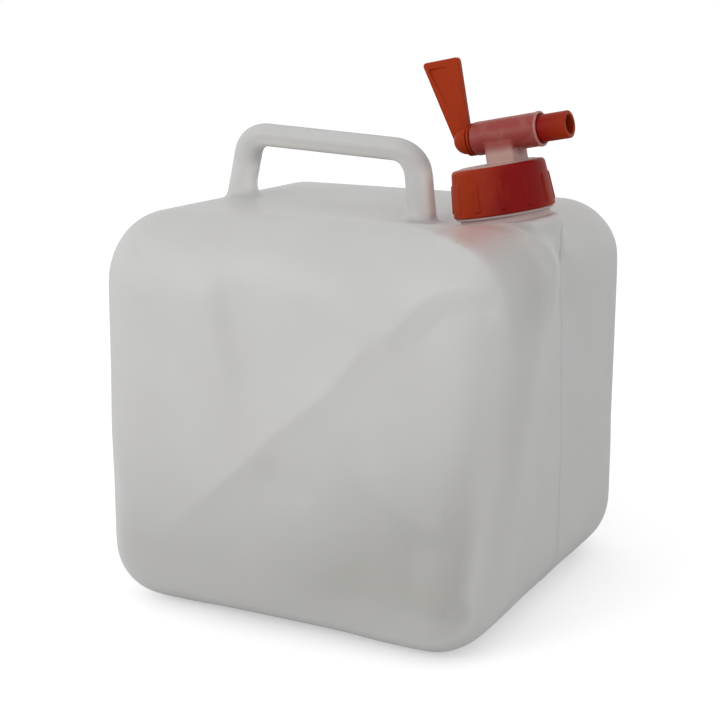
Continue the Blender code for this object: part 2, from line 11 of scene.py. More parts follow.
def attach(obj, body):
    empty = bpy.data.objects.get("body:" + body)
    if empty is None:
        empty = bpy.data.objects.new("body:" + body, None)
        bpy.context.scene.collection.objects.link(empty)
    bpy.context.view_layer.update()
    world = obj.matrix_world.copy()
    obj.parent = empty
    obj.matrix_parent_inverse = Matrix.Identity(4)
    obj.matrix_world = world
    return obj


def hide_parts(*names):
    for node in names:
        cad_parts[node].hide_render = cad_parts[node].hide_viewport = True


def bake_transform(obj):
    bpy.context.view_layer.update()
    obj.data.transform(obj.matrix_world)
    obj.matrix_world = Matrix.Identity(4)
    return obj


# Collapsible water carrier: one soft blow-moulded container with handle and neck,
# and a tap of orange and uncoloured plastic on it. Sizes are in millimetres.
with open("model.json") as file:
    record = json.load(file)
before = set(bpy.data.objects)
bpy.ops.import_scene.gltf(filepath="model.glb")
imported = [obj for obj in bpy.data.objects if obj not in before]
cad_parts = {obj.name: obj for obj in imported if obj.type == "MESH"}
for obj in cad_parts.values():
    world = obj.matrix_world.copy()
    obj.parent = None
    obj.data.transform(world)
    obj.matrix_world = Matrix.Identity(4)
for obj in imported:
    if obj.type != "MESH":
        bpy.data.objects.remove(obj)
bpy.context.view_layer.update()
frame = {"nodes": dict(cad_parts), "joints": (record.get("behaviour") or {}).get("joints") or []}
mm = 0.001


def linearColour(hexText):
    channels = [int(hexText[i:i + 2], 16) / 255 for i in (1, 3, 5)]
    return tuple(c / 12.92 if c <= 0.04045 else ((c + 0.055) / 1.055) ** 2.4 for c in channels) + (1.0,)


def addNode(tree, kind, inputs=None, **settings):
    node = tree.nodes.new(kind)
    for name, value in settings.items():
        setattr(node, name, value)
    for key, value in (inputs or {}).items():
        if isinstance(value, bpy.types.NodeSocket):
            tree.links.new(value, node.inputs[key])
        else:
            node.inputs[key].default_value = value
    return node


def startMaterial(name):
    material = bpy.data.materials.new(name)
    material.use_nodes = True
    tree = material.node_tree
    tree.nodes.clear()
    return material, tree


def closeMaterial(tree, shader):
    addNode(tree, "ShaderNodeOutputMaterial", {"Surface": shader.outputs[0]})


# Low-density polyethylene, blow moulded without pigment: milky, waxy, light spreads in it.
# Its colour is painted darker low on the broad sides and beside the neck for shade, lighter on the handle's far sides
# for light through it, and orange beside the neck for the ring's shine.
ldpeLook = {
    "thin": "#c4c4c3", "thick": "#c2c1c0", "paintedShadeTone": "#acaba7", "paintedLightTone": "#efedea", "shine": "#b0675d",
    "cloudSize": 48.0, "cloudRough": 0.55, "cloudFrom": 0.35, "cloudTo": 0.68,
    "skinGrain": 0.9, "skinHeight": 0.020, "skinStrength": 0.6, "dragSize": 3.0,
    "roughness": (0.40, 0.54), "gloss": 0.38, "ior": 1.51,
    "spread": 0.45, "spreadDepth": 4.5, "spreadTint": (1.0, 0.9, 0.8),
}


def naturalPolyethylene():
    look = ldpeLook
    material, tree = startMaterial("natural LDPE, blow moulded, satin")
    # Places as moulded, so that the clouds stay on the wall when it is pressed flat
    place = addNode(tree, "ShaderNodeAttribute", attribute_name="mouldedPlace").outputs["Vector"]
    shadeShare, hollow, solid, shine = (addNode(tree, "ShaderNodeAttribute", attribute_name=name).outputs["Fac"]
                                     for name in ("paintedShade", "paintedPostLight", "solidWall", "ringShine"))
    clouds = addNode(tree, "ShaderNodeTexNoise", {
        "Vector": place, "Scale": 1 / (look["cloudSize"] * mm), "Detail": 3.0, "Roughness": look["cloudRough"]})
    tone = addNode(tree, "ShaderNodeValToRGB", {"Fac": clouds.outputs[0]})
    thickStop, thinStop = tone.color_ramp.elements
    thickStop.position, thinStop.position = look["cloudFrom"], look["cloudTo"]
    thickStop.color, thinStop.color = linearColour(look["thick"]), linearColour(look["thin"])
    # Over the clouds lie the painted shade, the handle's painted light and the ring's painted shine
    colour = tone.outputs[0]
    for share, over in ((shadeShare, "paintedShadeTone"), (hollow, "paintedLightTone"), (shine, "shine")):
        colour = addNode(tree, "ShaderNodeMix", {0: share, 6: colour, 7: linearColour(look[over])},
                         data_type="RGBA").outputs[2]
    grain = addNode(tree, "ShaderNodeTexNoise",
                    {"Vector": place, "Scale": 1 / (look["skinGrain"] * mm), "Detail": 2.0})
    drag = addNode(tree, "ShaderNodeTexNoise",
                   {"Vector": place, "Scale": 1 / (look["dragSize"] * mm), "Detail": 2.0})
    skin = addNode(tree, "ShaderNodeBump", {
        "Height": grain.outputs[0], "Distance": look["skinHeight"] * mm, "Strength": look["skinStrength"]})
    satin = addNode(tree, "ShaderNodeMapRange", {
        "Value": drag.outputs[0], "To Min": look["roughness"][0], "To Max": look["roughness"][1]})
    spread = addNode(tree, "ShaderNodeMapRange", {"Value": solid, "To Min": 0.0, "To Max": look["spread"]})
    shader = addNode(tree, "ShaderNodeBsdfPrincipled", {
        "Base Color": colour, "Roughness": satin.outputs[0], "Normal": skin.outputs[0],
        "IOR": look["ior"], "Specular IOR Level": look["gloss"], "Subsurface Weight": spread.outputs[0],
        "Subsurface Scale": look["spreadDepth"] * mm, "Subsurface Radius": look["spreadTint"]})
    closeMaterial(tree, shader)
    return material


# Polyethylene with orange master batch, injection moulded: deep red-orange, satin, with a slightly dull tool finish.
# The colour is painted brighter towards the lever and crimson in the middle of the ring, as painted light and shade,
# with a swirl of random tone. So its painted stops run along one way through the pieces, between two distances.
orangeLook = {
    "paintedToneStops": ((0.07, "#9e310b"), (0.42, "#800d0e"), (0.66, "#820e0d"), (0.92, "#962e0b")),
    "paintedToneWay": (0.92, 0.39, 0.0), "flowFrom": 36.0, "flowTo": 100.0,
    "flowShift": 18.0, "flowSize": 9.0, "flowSwirl": 0.8,
    "corner": "#7a0612", "cornerFrom": 0.40, "cornerTo": 0.495, "cornerShadeShare": 0.9,
    "grain": 0.35, "grainHeight": 0.008, "grainStrength": 0.5, "roughness": (0.41, 0.52), "gloss": 0.10, "ior": 1.51,
    "spread": 0.10, "spreadDepth": 1.0, "spreadTint": (1.0, 0.25, 0.1),
}


def orangePolyethylene():
    look = orangeLook
    material, tree = startMaterial("orange LDPE, injection moulded, satin")
    place = addNode(tree, "ShaderNodeTexCoord").outputs["Object"]
    flow = addNode(tree, "ShaderNodeTexNoise", {
        "Vector": place, "Scale": 1 / (look["flowSize"] * mm), "Detail": 2.0, "Distortion": look["flowSwirl"]})
    way = addNode(tree, "ShaderNodeVectorMath", {0: place, 1: look["paintedToneWay"]}, operation="DOT_PRODUCT")
    swirl = addNode(tree, "ShaderNodeMath", {0: flow.outputs[0], 1: look["flowShift"] * mm, 2: way.outputs["Value"]},
                    operation="MULTIPLY_ADD")
    along = addNode(tree, "ShaderNodeMapRange", {
        "Value": swirl.outputs[0], "From Min": (look["flowFrom"] + look["flowShift"] / 2) * mm,
        "From Max": (look["flowTo"] + look["flowShift"] / 2) * mm})
    # Painted light and shade: stops from bright orange to crimson and back, along one way
    tone = addNode(tree, "ShaderNodeValToRGB", {"Fac": along.outputs[0]})
    ramp = tone.color_ramp.elements
    for i, (position, colour) in enumerate(look["paintedToneStops"]):
        stop = ramp[0] if i == 0 else ramp.new(position) if i < len(look["paintedToneStops"]) - 1 else ramp[-1]
        stop.position, stop.color = position, linearColour(colour)
    # Painted shade: inner corners, creases and recesses are painted crimson
    corner = addNode(tree, "ShaderNodeMapRange", {
        "Value": addNode(tree, "ShaderNodeNewGeometry").outputs["Pointiness"],
        "From Min": look["cornerFrom"], "From Max": look["cornerTo"], "To Min": look["cornerShadeShare"], "To Max": 0.0})
    colour = addNode(tree, "ShaderNodeMix", {
        0: corner.outputs[0], 6: tone.outputs[0], 7: linearColour(look["corner"])}, data_type="RGBA")
    grain = addNode(tree, "ShaderNodeTexNoise", {"Vector": place, "Scale": 1 / (look["grain"] * mm), "Detail": 1.0})
    skin = addNode(tree, "ShaderNodeBump", {
        "Height": grain.outputs[0], "Distance": look["grainHeight"] * mm, "Strength": look["grainStrength"]})
    shine = addNode(tree, "ShaderNodeMapRange", {
        "Value": flow.outputs[0], "To Min": look["roughness"][0], "To Max": look["roughness"][1]})
    shader = addNode(tree, "ShaderNodeBsdfPrincipled", {
        "Base Color": colour.outputs[2], "Roughness": shine.outputs[0], "Normal": skin.outputs[0],
        "IOR": look["ior"], "Specular IOR Level": look["gloss"], "Subsurface Weight": look["spread"],
        "Subsurface Scale": look["spreadDepth"] * mm, "Subsurface Radius": look["spreadTint"]})
    closeMaterial(tree, shader)
    return material


# Polypropylene without pigment, injection moulded in a polished tool. The thin barrel is clear enough to show
# the orange plug as a pink body, and its rims and the thick stem and flange are milky.
clearLook = {
    "overPlug": "#a8403a", "rim": "#cc9c97", "thick": "#b9948c",
    "flowSize": 7.0, "haze": 0.13, "hazeFrom": 0.42, "hazeTo": 0.68,
    "thinCover": 0.6, "thickCover": 0.90, "edgeCover": 0.92, "edgeFrom": 0.04, "edgeTo": 0.5,
    "roughness": (0.37, 0.47), "ior": 1.49,
}


def clearPolypropylene():
    look = clearLook
    material, tree = startMaterial("natural PP, injection moulded, translucent")
    place = addNode(tree, "ShaderNodeTexCoord").outputs["Object"]
    thickness, rims = (addNode(tree, "ShaderNodeAttribute", attribute_name=name).outputs["Fac"]
                       for name in ("thickness", "rims"))
    flow = addNode(tree, "ShaderNodeTexNoise", {"Vector": place, "Scale": 1 / (look["flowSize"] * mm), "Detail": 1.0})
    haze = addNode(tree, "ShaderNodeMapRange", {
        "Value": flow.outputs[0], "From Min": look["hazeFrom"], "From Max": look["hazeTo"],
        "To Min": 0.0, "To Max": look["haze"]})
    milky = addNode(tree, "ShaderNodeMath", {0: rims, 1: haze.outputs[0]}, operation="MAXIMUM")
    colour = linearColour(look["overPlug"])
    for share, over in ((milky.outputs[0], "rim"), (thickness, "thick")):
        colour = addNode(tree, "ShaderNodeMix", {0: share, 6: colour, 7: linearColour(look[over])},
                         data_type="RGBA").outputs[2]
    # A skimming look goes through more plastic, so the edges are less clear
    skimming = addNode(tree, "ShaderNodeFresnel", {"IOR": look["ior"]})
    thin = addNode(tree, "ShaderNodeMapRange", {
        "Value": skimming.outputs[0], "From Min": look["edgeFrom"], "From Max": look["edgeTo"],
        "To Min": look["thinCover"], "To Max": look["edgeCover"]})
    ends = addNode(tree, "ShaderNodeMath", {0: rims, 1: thickness}, operation="MAXIMUM")
    cover = addNode(tree, "ShaderNodeMapRange", {
        "Value": ends.outputs[0], "To Min": thin.outputs[0], "To Max": look["thickCover"]})
    shine = addNode(tree, "ShaderNodeMapRange", {
        "Value": flow.outputs[0], "To Min": look["roughness"][0], "To Max": look["roughness"][1]})
    shader = addNode(tree, "ShaderNodeBsdfPrincipled", {
        "Base Color": colour, "Roughness": shine.outputs[0], "IOR": look["ior"], "Alpha": cover.outputs[0]})
    closeMaterial(tree, shader)
    return material


# Closed-cell polyethylene foam, die cut: soft white with fine open cells on its cut edge.
sealLook = {
    "wall": "#e6e4de", "cell": "#bdbab2", "cellSize": 0.45, "cellDepth": 0.08, "cellStrength": 0.7, "roughness": 0.75,
}


def sealFoam():
    look = sealLook
    material, tree = startMaterial("closed-cell PE foam, die cut")
    place = addNode(tree, "ShaderNodeTexCoord").outputs["Object"]
    cells = addNode(tree, "ShaderNodeTexVoronoi", {"Vector": place, "Scale": 1 / (look["cellSize"] * mm)})
    fromCell = cells.outputs["Distance"]
    tone = addNode(tree, "ShaderNodeMix", {0: fromCell, 6: linearColour(look["cell"]), 7: linearColour(look["wall"])},
                   data_type="RGBA")
    skin = addNode(tree, "ShaderNodeBump", {
        "Height": fromCell, "Distance": look["cellDepth"] * mm, "Strength": look["cellStrength"]})
    shader = addNode(tree, "ShaderNodeBsdfPrincipled", {
        "Base Color": tone.outputs[2], "Roughness": look["roughness"], "Normal": skin.outputs[0]})
    closeMaterial(tree, shader)
    return material


def smoothShare(share):
    share = np.clip(share, 0.0, 1.0)
    return share * share * (3 - 2 * share)


def meshPiece(name, points, faces, place=None):
    mesh = bpy.data.meshes.new(name)
    mesh.from_pydata([tuple(p) for p in points], [], faces)
    mesh.validate()
    if place:
        mesh.transform(place)
    work = bmesh.new()
    work.from_mesh(mesh)
    bmesh.ops.recalc_face_normals(work, faces=work.faces)
    work.to_mesh(mesh)
    work.free()
    mesh.shade_smooth()
    piece = bpy.data.objects.new(name, mesh)
    bpy.context.scene.collection.objects.link(piece)
    return piece


# Joins rings of points, an array of ring x point x 3, into one closed skin
def ringPiece(name, rings, place=None, closed=False):
    count, around = rings.shape[:2]
    last = count if closed else count - 1
    i, j = np.meshgrid(np.arange(last), np.arange(around), indexing="ij")
    nextRow, nextPoint = (i + 1) % count, (j + 1) % around
    quads = np.stack([i * around + j, i * around + nextPoint, nextRow * around + nextPoint, nextRow * around + j], -1)
    faces = quads.reshape(-1, 4).tolist()
    if not closed:
        faces.append(list(range(around - 1, -1, -1)))
        faces.append(list(range((count - 1) * around, count * around)))
    return meshPiece(name, rings.reshape(-1, 3) * mm, faces, place)


def roundTurns(steps):
    return np.linspace(0, 2 * math.pi, steps, endpoint=False)


# Turns a profile of (radius, height) about Z
def turnedRings(profile, steps):
    turns = roundTurns(steps)
    profile = np.array(profile, float)
    rings = np.empty((len(profile), steps, 3))
    rings[:, :, 0] = profile[:, 0:1] * np.cos(turns)
    rings[:, :, 1] = profile[:, 0:1] * np.sin(turns)
    rings[:, :, 2] = profile[:, 1:2]
    return rings


# The same, turned about X, with the profile's heights along X
def turnedAlong(profile, steps):
    rings = turnedRings(profile, steps)
    return np.stack([rings[:, :, 2], rings[:, :, 0], rings[:, :, 1]], -1)


def filletArc(centreRadius, centreHeight, radius, start, end, steps):
    angles = np.radians(np.linspace(start, end, steps + 1))
    return [(centreRadius + radius * math.cos(a), centreHeight + radius * math.sin(a)) for a in angles]


# How far a thread stands at one height, round these turns, as a share of its full height
def threadShare(size, height, turns):
    share = np.zeros(len(turns))
    for lap in range(3):
        along = turns / (2 * math.pi) + lap
        off = np.abs(height - size["threadStart"] - size["pitch"] * along)
        ends = smoothShare(np.minimum(along, size["threadTurns"] - along) / size["threadFade"])
        share = np.maximum(share, smoothShare((size["threadHalf"] - off) / size["threadFlank"]) * ends)
    return share


def applied(piece):
    graph = bpy.context.evaluated_depsgraph_get()
    mesh = bpy.data.meshes.new_from_object(piece.evaluated_get(graph))
    piece.modifiers.clear()
    old, piece.data = piece.data, mesh
    bpy.data.meshes.remove(old)
    mesh.shade_smooth()
    return piece


def carve(piece, tools, operation):
    for tool in tools:
        step = piece.modifiers.new(tool.name, "BOOLEAN")
        step.operation, step.solver, step.object = operation, "EXACT", tool
    bpy.context.view_layer.update()
    applied(piece)
    for tool in tools:
        bpy.data.objects.remove(tool)


def joined(pieces):
    work = bmesh.new()
    for piece in pieces:
        work.from_mesh(piece.data)
    work.to_mesh(pieces[0].data)
    work.free()
    for extra in pieces[1:]:
        bpy.data.objects.remove(extra)
    pieces[0].data.shade_smooth()
    return pieces[0]


# Melts overlapping solids into one even skin, whose inner corners come out as small fillets when smoothed
def melted(piece, voxel, smoothing=0):
    step = piece.modifiers.new("melt", "REMESH")
    step.mode, step.voxel_size = "VOXEL", voxel * mm
    if smoothing:
        relax = piece.modifiers.new("relax", "SMOOTH")
        relax.factor, relax.iterations = 0.5, smoothing
    bpy.context.view_layer.update()
    return applied(piece)


def dressed(piece, material):
    piece.data.materials.clear()
    piece.data.materials.append(material)
    return piece


def meshArrays(piece):
    mesh = piece.data
    points = np.empty(len(mesh.vertices) * 3)
    mesh.vertices.foreach_get("co", points)
    normals = np.empty(len(mesh.vertices) * 3)
    mesh.vertices.foreach_get("normal", normals)
    edges = np.empty(len(mesh.edges) * 2, int)
    mesh.edges.foreach_get("vertices", edges)
    return points.reshape(-1, 3) / mm, normals.reshape(-1, 3), edges.reshape(-1, 2)


def setPoints(piece, points):
    piece.data.vertices.foreach_set("co", (points * mm).ravel())
    piece.data.update()


# Keeps one value or one vector for every point of a mesh, for its material to read
def paintPoints(piece, name, values):
    kind, key = ("FLOAT_VECTOR", "vector") if values.ndim == 2 else ("FLOAT", "value")
    piece.data.attributes.new(name, kind, "POINT").data.foreach_set(key, values.ravel())


# Relaxes points towards their neighbours' middle, each by its own share
def relaxed(points, edges, share, turns):
    degree = np.zeros(len(points))
    np.add.at(degree, edges.ravel(), 1)
    for _ in range(turns):
        total = np.zeros_like(points)
        for axis in range(3):
            total[:, axis] = (np.bincount(edges[:, 0], points[edges[:, 1], axis], len(points))
                              + np.bincount(edges[:, 1], points[edges[:, 0], axis], len(points)))
        points = points + share[:, None] * (total / degree[:, None] - points)
    return points


joints = {joint["name"]: joint for joint in frame["joints"]}
neckUp = Vector(joints["cap_turn"]["axis"]).normalized()
leverAlong = Vector(joints["lever_turn"]["axis"]).normalized()


def axisPlace(origin, along, up):
    side = up.cross(along).normalized()
    along = side.cross(up)
    place = Matrix((along, side, up)).transposed().to_4x4()
    place.translation = Vector(origin)
    return place


neckPlace = axisPlace(joints["cap_turn"]["pos_m"], Vector((0, 1, 0)).cross(neckUp), neckUp)
tapPlace = axisPlace(joints["cap_turn"]["pos_m"], leverAlong, neckUp)
leverPlace = axisPlace(joints["lever_turn"]["pos_m"], leverAlong, neckUp)


# Worked out from the photograph's outline: azimuth and height in degrees, focal length in pixels
cameraLook = {
    "azimuth": 19.35, "elevation": 13.96, "distance": 767.4, "focal": 1372.5, "aim": (0.62, -0.4, 104.7),
    "middle": (376.4, 390.3), "roll": -0.30, "picture": 720.0, "sensor": 36.0, "clip": (0.01, 50.0),
}


def setCamera():
    look = cameraLook
    azimuth, elevation, roll = (math.radians(look[name]) for name in ("azimuth", "elevation", "roll"))
    back = Vector((math.sin(azimuth) * math.cos(elevation), -math.cos(azimuth) * math.cos(elevation),
                   math.sin(elevation)))
    right = (-back).cross(Vector((0, 0, 1))).normalized()
    up = right.cross(-back)
    # It is turned and rolled instead of shifted, so that the object stands where it does in the picture
    half = look["picture"] / 2
    yaw = math.atan((look["middle"][0] - half) / look["focal"])
    pitch = math.atan((look["middle"][1] - half) / look["focal"])
    right, view = math.cos(yaw) * right - math.sin(yaw) * back, -math.sin(yaw) * right - math.cos(yaw) * back
    up, view = math.cos(pitch) * up - math.sin(pitch) * view, math.sin(pitch) * up + math.cos(pitch) * view
    right, up = math.cos(roll) * right - math.sin(roll) * up, math.sin(roll) * right + math.cos(roll) * up
    camera = bpy.data.cameras.new("photo camera")
    camera.sensor_width = look["sensor"]
    camera.lens = look["focal"] / look["picture"] * camera.sensor_width
    camera.clip_start, camera.clip_end = look["clip"]
    holder = bpy.data.objects.new("photo camera", camera)
    bpy.context.scene.collection.objects.link(holder)
    place = Matrix((right, up, -view)).transposed().to_4x4()
    place.translation = Vector(look["aim"]) * mm + back * look["distance"] * mm
    holder.matrix_world = place
    bpy.context.scene.camera = holder


setCamera()
print("camera set")


containerSizes = {
    "width": 225.0, "depth": 227.0, "height": 209.4, "topRadius": 34.7, "baseRadius": 31.4,
    "twist": -7.4, "shift": (0.62, -0.4, 0.0),
    "leanIn": 10.0, "leanReach": 85.0, "leanLow": 5.0, "leanHigh": 160.0,
    "valleyDepth": 10.8, "valleyReach": 95.0, "valleyX": 45.5, "valleyLeft": 130.5, "valleyRight": 60.0,
    "baseArch": 1.3, "padInner": 0.27, "padOuter": 0.53, "topStart": 174.0, "topDepth": 35.4, "baseHeight": 34.0,
    "sideSteps": 70, "cornerSteps": 18, "wallSteps": 60, "capSteps": 44, "capHole": 0.004, "voxel": 1.5,
    "relaxFrom": 194.0, "relaxOver": 10.0, "relaxTop": 0.08, "relaxBelow": 0.42, "relaxTurns": 36,
}
# How far each corner of the soft box is pushed: at the base along X and Y, at the top along X, Y and Z
cornerShifts = {
    (-1, -1): ((0.003, -0.004), (-0.017, -0.007, 0.012)),
    (-1, 1): ((0.0, 0.0), (0.023, 0.009, 0.013)),
    (1, -1): ((-0.030, -0.002), (0.016, 0.006, 0.0)),
    (1, 1): ((-0.008, -0.003), (0.024, 0.004, -0.012)),
}


# How far the body's twist, pushed corners, leaning right face, hollow top and arched base move each place
def softShift(points):
    size = containerSizes
    halfX, halfY = size["width"] / 2, size["depth"] / 2
    x, y, z = points[..., 0], points[..., 1], points[..., 2]
    shareX, shareY = np.clip(x / halfX, -1, 1), np.clip(y / halfY, -1, 1)
    shareZ = z / size["height"]
    topShare = smoothShare((z - size["topStart"]) / size["topDepth"])
    angle = math.radians(size["twist"]) * (1 - shareZ)
    movedX = x * np.cos(angle) - y * np.sin(angle)
    movedY = x * np.sin(angle) + y * np.cos(angle)
    movedZ = z.copy()
    for (sideX, sideY), (low, high) in cornerShifts.items():
        weight = (1 + sideX * shareX) * (1 + sideY * shareY) / 4 * size["width"]
        movedX += weight * (low[0] * (1 - shareZ) + high[0] * shareZ)
        movedY += weight * (low[1] * (1 - shareZ) + high[1] * shareZ)
        movedZ += weight * high[2] * topShare
    beside = 1 - smoothShare(np.abs(y) / size["leanReach"])
    rise = smoothShare((z - size["leanLow"]) / (size["leanHigh"] - size["leanLow"]))
    movedX -= size["leanIn"] * beside * rise * smoothShare(2 * shareX - 1)
    run = np.where(x > size["valleyX"], (x - size["valleyX"]) / size["valleyRight"],
                   (size["valleyX"] - x) / size["valleyLeft"])
    inValley = 1 - smoothShare(np.abs(y) / size["valleyReach"])
    movedZ -= size["valleyDepth"] * np.maximum(1 - run, 0) * inValley * topShare
    spread = size["padOuter"] - size["padInner"]
    pads = (smoothShare((np.abs(shareX) - size["padInner"]) / spread)
            * smoothShare((np.abs(shareY) - size["padInner"]) / spread))
    movedZ += size["baseArch"] * (1 - pads) * np.maximum(1 - z / size["baseHeight"], 0) ** 2
    return np.stack([movedX, movedY, movedZ], -1) - points


# Points once round a rounded rectangle
def levelRing(halfX, halfY, corner):
    size = containerSizes
    points = []
    for outX, outY in ((1, 0), (0, 1), (-1, 0), (0, -1)):
        out, along = np.array((outX, outY, 0.0)), np.array((-outY, outX, 0.0))
        reach, run = (halfX, halfY - corner) if outX else (halfY, halfX - corner)
        shares = np.linspace(-1, 1, size["sideSteps"], endpoint=False)[:, None]
        points.append(out * reach + along * run * shares)
        angles = np.linspace(0, math.pi / 2, size["cornerSteps"], endpoint=False)[:, None]
        turned = out * np.cos(angles) + along * np.sin(angles)
        points.append(out * (reach - corner) + along * run + turned * corner)
    return np.concatenate(points)


def bodyRings():
    size = containerSizes
    halfX, halfY = size["width"] / 2, size["depth"] / 2
    low, high = size["baseRadius"], size["height"] - size["topRadius"]

    def rounding(radius, centre, direction):
        made = []
        for angle in np.linspace(0, math.pi / 2, size["cornerSteps"] + 1)[1:]:
            drawn = radius * (1 - math.cos(angle))
            points = levelRing(halfX - drawn, halfY - drawn, max(radius - drawn, 0.0))
            points[:, 2] = centre + direction * radius * math.sin(angle)
            made.append(points)
        return made

    def cap(points):
        middle = np.array((0.0, 0.0, points[0, 2]))
        shares = np.linspace(1, size["capHole"], size["capSteps"])[1:]
        return [middle + (points - middle) * share for share in shares]

    base, top = rounding(size["baseRadius"], low, -1), rounding(size["topRadius"], high, 1)
    levels = cap(base[-1])[::-1] + base[::-1]
    for z in np.linspace(low, high, size["wallSteps"]):
        share = (z - low) / (high - low)
        points = levelRing(halfX, halfY, size["baseRadius"] + (size["topRadius"] - size["baseRadius"]) * share)
        points[:, 2] = z
        levels.append(points)
    levels += top + cap(top[-1])
    return np.stack([points + softShift(points) for points in levels])


handleSizes = {
    "postWidth": 15.2, "postDepth": 15.0, "barHeight": 12.0, "barDepth": 17.0,
    "footFlare": 5.5, "footHeight": 10.0, "footSink": 6.0, "footCurve": 2.4, "footDeepShare": 0.15, "footSteps": 18,
    "leftX": -80.9, "leftLean": 7.2, "leftRise": 35.9, "leftBend": 11.0,
    "rightX": 26.1, "rightLean": 4.0, "rightRise": 28.5, "rightBend": 15.0,
    "bendSteps": 16, "squareness": 2.35, "steps": 48,
}


# The height of the container's top in the parting plane
def surfaceHeight(x):
    point = np.array([[x, 0.0, containerSizes["height"]]])
    return containerSizes["height"] + softShift(point)[0, 2]


def handleRings():
    size = handleSizes
    height = containerSizes["height"]
    feet = [Vector((x, 0, surfaceHeight(x))) for x in (size["leftX"], size["rightX"])]
    corners = [Vector((size["leftX"] + size["leftLean"], 0, height + size["leftRise"])),
               Vector((size["rightX"] - size["rightLean"], 0, height + size["rightRise"]))]
    post = (size["postWidth"] / 2, size["postDepth"] / 2)
    bar = (size["barHeight"] / 2, size["barDepth"] / 2)

    # A section is its middle, its way, and half its size across and front to back
    def postSections(foot, corner, inner):
        direction = (corner - foot).normalized()
        made = []
        for rise in np.linspace(-size["footSink"], size["footHeight"], size["footSteps"]):
            flare = size["footFlare"] * (1 - min(max(rise / size["footHeight"], 0.0), 1.0)) ** size["footCurve"]
            made.append((foot + direction * float(rise) + Vector((inner * flare / 2, 0, 0)), direction,
                         (size["postWidth"] + flare) / 2, post[1] + size["footDeepShare"] * flare))
        return made

    def bendSections(before, corner, after, radius, first, last):
        wayIn, wayOut = (corner - before).normalized(), (after - corner).normalized()
        turn = wayIn.angle(wayOut)
        pivot = wayIn.cross(wayOut).normalized()
        start = corner - wayIn * radius * math.tan(turn / 2)
        centre = start + pivot.cross(wayIn) * radius
        made = []
        for i in range(size["bendSteps"] + 1):
            spin = Matrix.Rotation(turn * i / size["bendSteps"], 3, pivot)
            mix = float(smoothShare(i / size["bendSteps"]))
            made.append((centre + spin @ (start - centre), spin @ wayIn,
                         first[0] + (last[0] - first[0]) * mix, first[1] + (last[1] - first[1]) * mix))
        return made

    sections = postSections(feet[0], corners[0], 1)
    sections += bendSections(feet[0], corners[0], corners[1], size["leftBend"], post, bar)
    sections += bendSections(corners[0], corners[1], feet[1], size["rightBend"], bar, post)
    for point, way, across, deep in reversed(postSections(feet[1], corners[1], -1)):
        sections.append((point, -way, across, deep))
    turns = roundTurns(size["steps"])
    power = 2 / size["squareness"]
    wideWave, deepWave = (np.sign(wave) * np.abs(wave) ** power for wave in (np.cos(turns), np.sin(turns)))
    rings = []
    back = Vector((0, 1, 0))
    for point, way, across, deep in sections:
        side = np.array(back.cross(way).normalized())
        rings.append(np.array(point) + side * (across * wideWave)[:, None]
                     + np.array(back) * (deep * deepWave)[:, None])
    return np.stack(rings)


neckSizes = {
    "radius": 21.5, "wall": 1.8, "length": 20.5, "ringGap": 3.0, "sink": 10.0, "edge": 0.3, "rimOuter": 0.6,
    "rimInner": 0.5, "steps": 240, "collar": 23.6, "collarRound": 2.3,
    "bead": 25.8, "beadAt": -0.78, "beadRound": 0.7, "beadEdge": 0.1,
    "shoulderRadius": 30.0, "shoulderRound": 4.0, "shoulderLow": 4.8, "shoulderSteps": 96, "shoulderLevels": 12,
    "flare": 6.0, "footLift": 2.1, "inset": 0.6,
    "pitch": 4.5, "threadHeight": 1.6, "threadStart": 6.4, "threadTurns": 1.5, "threadHalf": 1.3,
    "threadFlank": 0.7, "threadFade": 0.2, "threadLow": 0.2, "threadLevels": 64,
}


# The tilted round shoulder between the body and the neck
def pedestalRings():
    size = neckSizes
    foot = size["shoulderRadius"] + size["flare"]
    footX = containerSizes["width"] / 2 - containerSizes["leanIn"] - size["inset"] - foot
    footZ = containerSizes["topStart"] + size["footLift"]
    low = turnedRings([(foot, footZ)], size["shoulderSteps"])[0] + (footX, 0, 0)
    toBody = np.array(neckPlace)
    shift = np.array(containerSizes["shift"])
    curve = size["shoulderRound"]
    arc = filletArc(size["shoulderRadius"] - curve, -size["shoulderLow"] - curve, curve, 0, 90, 8)
    shoulder = [ring @ toBody[:3, :3].T + toBody[:3, 3] / mm - shift
                for ring in turnedRings(arc, size["shoulderSteps"])]
    straight = [low + (shoulder[0] - low) * share for share in np.linspace(0, 1, size["shoulderLevels"])[1:-1]]
    return np.stack([low] + straight + shoulder)


# Neck tube with its stop bead and thread, a closed skin round its bore
def neckPiece():
    size = neckSizes
    radius, collar, curve, edge = size["radius"], size["collar"], size["collarRound"], size["edge"]
    bead, beadAt, outer, inner = size["beadRound"], size["beadAt"], size["rimOuter"], size["rimInner"]
    rim = size["length"] - size["ringGap"]
    bore = radius - size["wall"]
    profile = [(bore, -size["sink"]), (collar + curve, -size["sink"])]
    profile += filletArc(collar + curve, -size["shoulderLow"] - edge + curve, curve, 270, 180, 8)
    profile += [(collar, beadAt - bead - size["beadEdge"])]
    profile += filletArc(size["bead"] - bead, beadAt, bead, -90, 90, 8)
    profile += [(radius + edge, beadAt + bead), (radius, beadAt + bead + edge)]
    profile += [(radius, h) for h in np.linspace(size["threadLow"], rim - outer, size["threadLevels"])]
    profile += filletArc(radius - outer, rim - outer, outer, 0, 90, 4)
    profile += filletArc(bore + inner, rim - inner, inner, 90, 180, 4)
    rings = turnedRings(profile, size["steps"])
    turns = roundTurns(size["steps"])
    for row, (reach, height) in enumerate(profile):
        if reach == radius and height >= 0:
            rings[row, :, :2] *= 1 + threadShare(size, height, turns)[:, None] * size["threadHeight"] / reach
    return ringPiece("neck", rings, neckPlace, closed=True)


